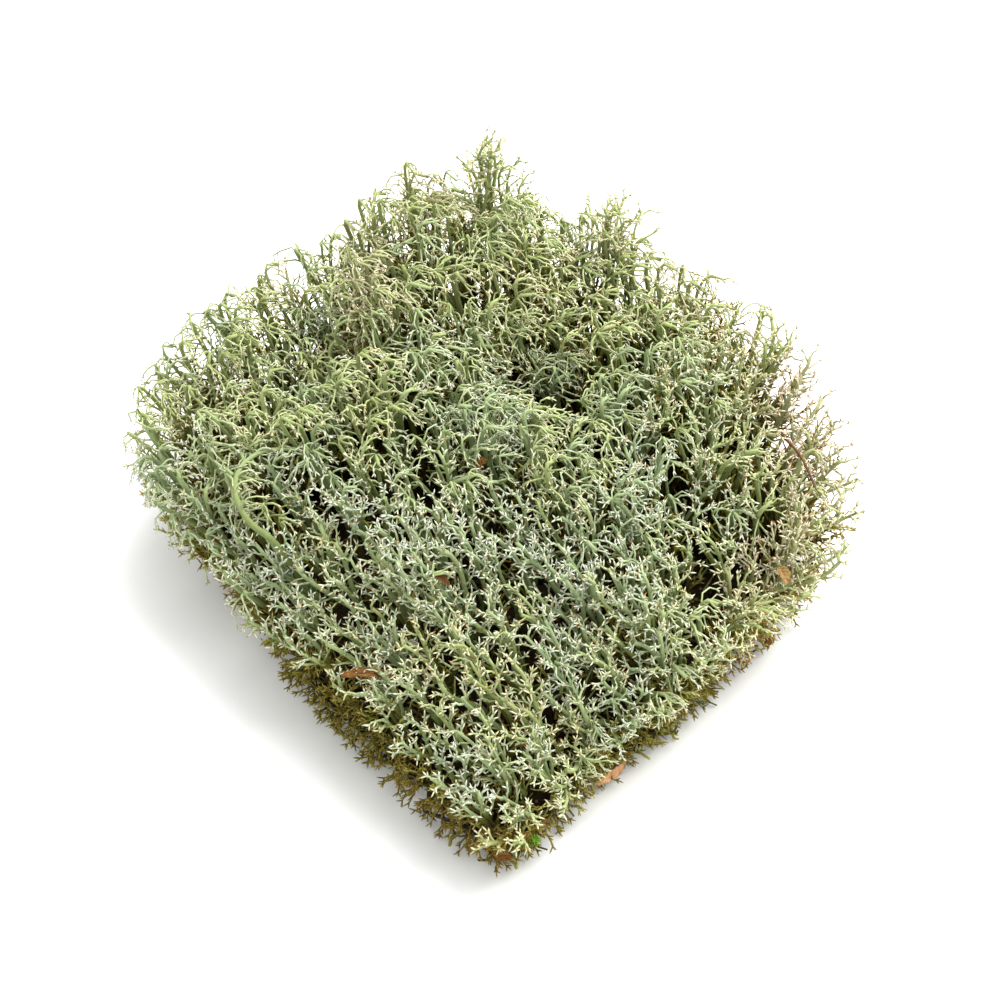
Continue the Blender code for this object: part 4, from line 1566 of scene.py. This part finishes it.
class Litter:
    """Everything caught on the clump: scraps of leaf and bark, a needle, a twig and a moss sprig."""

    FLAKES = (
        Flake("leaf_flake_left", "dead_leaf", 11.5 * MM, 2.6 * MM, 8, 10, moved=(2.5, 3.2, -4.0)),
        Flake("leaf_flake_front", "dead_leaf", 4.6 * MM, 1.8 * MM, -35, 5, moved=(0, 0, -2.0)),
        Flake("leaf_flake_middle", "dead_leaf", 3.6 * MM, 2.2 * MM, 60, moved=(0, 0, -0.5)),
        Flake("ochre_leaf_flake", "ochre_leaf", 4.2 * MM, 2.6 * MM, -50, 20, moved=(-0.8, 0.5, -1.0)),
        Flake("bark_scale", "bark", 8.5 * MM, 3.0 * MM, 44, 0, 78, 0.10, 0.6 * MM, (-1.8, 2.4, 0)),
        Flake("bud_scale", "dead_leaf", 3.6 * MM, 2.2 * MM, 48, 0, 78, 0.05, moved=(-2.4, 1.6, 0.5)),
        Flake("rust_flake", "dead_leaf", 4.0 * MM, 2.6 * MM, 6, 0, 78, moved=(3.0, 5.0, -2.5)),
    )
    RODS = (
        Rod(
            "pine_needle",
            "pine_needle",
            ((61.0, 21.5, 56.0), (65.0, 13.5, 57.5), (68.0, 5.0, 56.0)),
            (0.34 * MM, 0.24 * MM),
            moved=(-0.5, 0.0, -3.6),
        ),
        Rod(
            "rotten_twig",
            "rotten_wood",
            ((-20.0, -78.0, 8.5), (-15.0, -80.0, 7.5), (-9.0, -82.0, 6.0)),
            (0.42 * MM, 0.26 * MM),
            side_count=7,
            side_length=2.6 * MM,
            side_radius=0.24 * MM,
            wobble=0.10 * MM,
            moved=(4.5, 4.0, 0.0),
        ),
        Rod(
            "moss_sprig",
            "green_moss",
            ((4.5, -93.0, 7.5), (6.5, -93.5, 10.0), (7.5, -95.0, 13.0)),
            (0.32 * MM, 0.22 * MM),
            side_count=70,
            side_length=1.9 * MM,
            side_radius=0.17 * MM,
            side_angle=0.75,
        ),
    )
    FINISHES = (
        ("dead_leaf", ScrapFinish("dead_leaf", "#3A2208", "#6C4410", "#966A26", veined=True)),
        ("ochre_leaf", ScrapFinish("ochre_leaf", "#6A4C22", "#93733E", "#B5986A", veined=True)),
        ("bark", ScrapFinish("bark", "#8E5F36", "#C49468", "#DDB78E", streaks=16.0)),
        ("pine_needle", ScrapFinish("pine_needle", "#2E180A", "#553012", "#7A4A20", roughness=0.5)),
        ("rotten_wood", ScrapFinish("rotten_wood", "#15100A", "#2C2215", "#4B3B26", streaks=14.0)),
        ("green_moss", ScrapFinish("green_moss", "#3E6B12", "#6FA024", "#A6C84A", streaks=3.0)),
    )

    def build(self) -> None:
        """Makes all the scraps."""
        finishes = {slot: finish.build() for slot, finish in self.FINISHES}
        for scrap in (*self.FLAKES, *self.RODS):
            piece = scrap.build(finishes[scrap.slot])
            LOG.info("%s: %d faces", piece.name, len(piece.data.polygons))


# ---------------------------------------------------------------------------------------------
# The studio
# ---------------------------------------------------------------------------------------------


@dataclass
class Studio:
    """A white floor, soft light from the upper right, and a camera that looks down at 50 degrees."""

    elevation: float = math.radians(50)
    distance: float = 0.60
    target: tuple[float, float, float] = (0.0030, 0.0035, 0.030)
    view_width: float = 0.215
    sensor: float = 36.0
    half_floor: float = 3.0
    sky_strength: float = 1.12
    key_place: tuple[float, float, float] = (0.42, 0.40, 0.90)
    key_size: float = 1.0
    key_power: float = 24.0

    def build(self) -> None:
        """Makes the floor, lights, world and camera."""
        self.floor()
        self.world()
        self.light("key", self.key_place, self.key_size, self.key_power)
        self.camera()

    def floor(self) -> None:
        """A plain white sheet under the clump."""
        nodes = Nodes("white_card")
        nodes.plug(nodes.shader, "Base Color", linear("#F4F5F3"))
        nodes.plug(nodes.shader, "Roughness", 0.9)
        mesh = bpy.data.meshes.new("floor")
        half = self.half_floor
        corners = [(-half, -half, 0), (half, -half, 0), (half, half, 0), (-half, half, 0)]
        mesh.from_pydata(corners, [], [(0, 1, 2, 3)])
        mesh.materials.append(nodes.material)
        floor = bpy.data.objects.new("floor", mesh)
        bpy.context.scene.collection.objects.link(floor)

    def world(self) -> None:
        """Even white light from everywhere."""
        world = bpy.data.worlds.new("studio")
        world.use_nodes = True
        sky = world.node_tree.nodes["Background"]
        sky.inputs["Color"].default_value = linear("#FFFFFF")
        sky.inputs["Strength"].default_value = self.sky_strength
        bpy.context.scene.world = world
        bpy.context.scene.view_settings.view_transform = "Standard"

    def light(self, name: str, place: tuple[float, float, float], size: float, power: float) -> None:
        """A square soft box that faces the clump."""
        lamp = bpy.data.lights.new(name, "AREA")
        lamp.size = size
        lamp.energy = power
        box = bpy.data.objects.new(name, lamp)
        box.location = place
        box.rotation_euler = self.aim(np.array(self.target) - np.array(place))
        bpy.context.scene.collection.objects.link(box)

    def aim(self, towards: Array) -> tuple[float, float, float]:
        """Euler angles that turn -Z along a direction, with no roll."""
        x, y, z = (float(value) for value in towards)
        return (math.atan2(math.hypot(x, y), -z), 0.0, math.atan2(y, x) - math.pi / 2)

    def camera(self) -> None:
        """A long lens, level, in front of the pointed corner."""
        lens = bpy.data.cameras.new("camera")
        lens.sensor_width = self.sensor
        lens.lens = self.sensor * self.distance / self.view_width
        lens.clip_start = 0.01
        lens.clip_end = 20.0
        camera = bpy.data.objects.new("camera", lens)
        back = np.array([0.0, -math.cos(self.elevation), math.sin(self.elevation)])
        camera.location = np.array(self.target) + self.distance * back
        camera.rotation_euler = self.aim(-back)
        bpy.context.scene.collection.objects.link(camera)
        bpy.context.scene.camera = camera


def main() -> None:
    """Builds the clump tuft by tuft, its mat and its litter, then the studio around it."""
    logging.basicConfig(level=logging.INFO, format="%(message)s")
    first_seed = 100
    names = sorted(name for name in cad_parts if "tuft" in name)
    cushion = Cushion(names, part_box("dead_base_mat")[1][2])
    lichen = LichenFinish().build()
    sprouts = cushion.sprouts()
    owners = cushion.owners(sprouts.places)
    for number, name in enumerate(names):
        own = sprouts.picked(owners == number)
        if cushion.tall[number]:
            own = Sprouts.joined([own, cushion.spire(number)])
        Tuft(name, number, cushion, own, first_seed + number).build(lichen)
    apart = cushion.apexes[:, :2] - node_middle("curled_stem")[:2]
    beside = int(np.linalg.norm(apart, axis=1).argmin())
    CurledStem("curled_stem", beside, cushion, sprouts, 7).build(lichen)
    BaseMat().build(HumusFinish().build(), lichen)
    Litter().build()
    Studio().build()


if __name__ == "__main__":
    main()
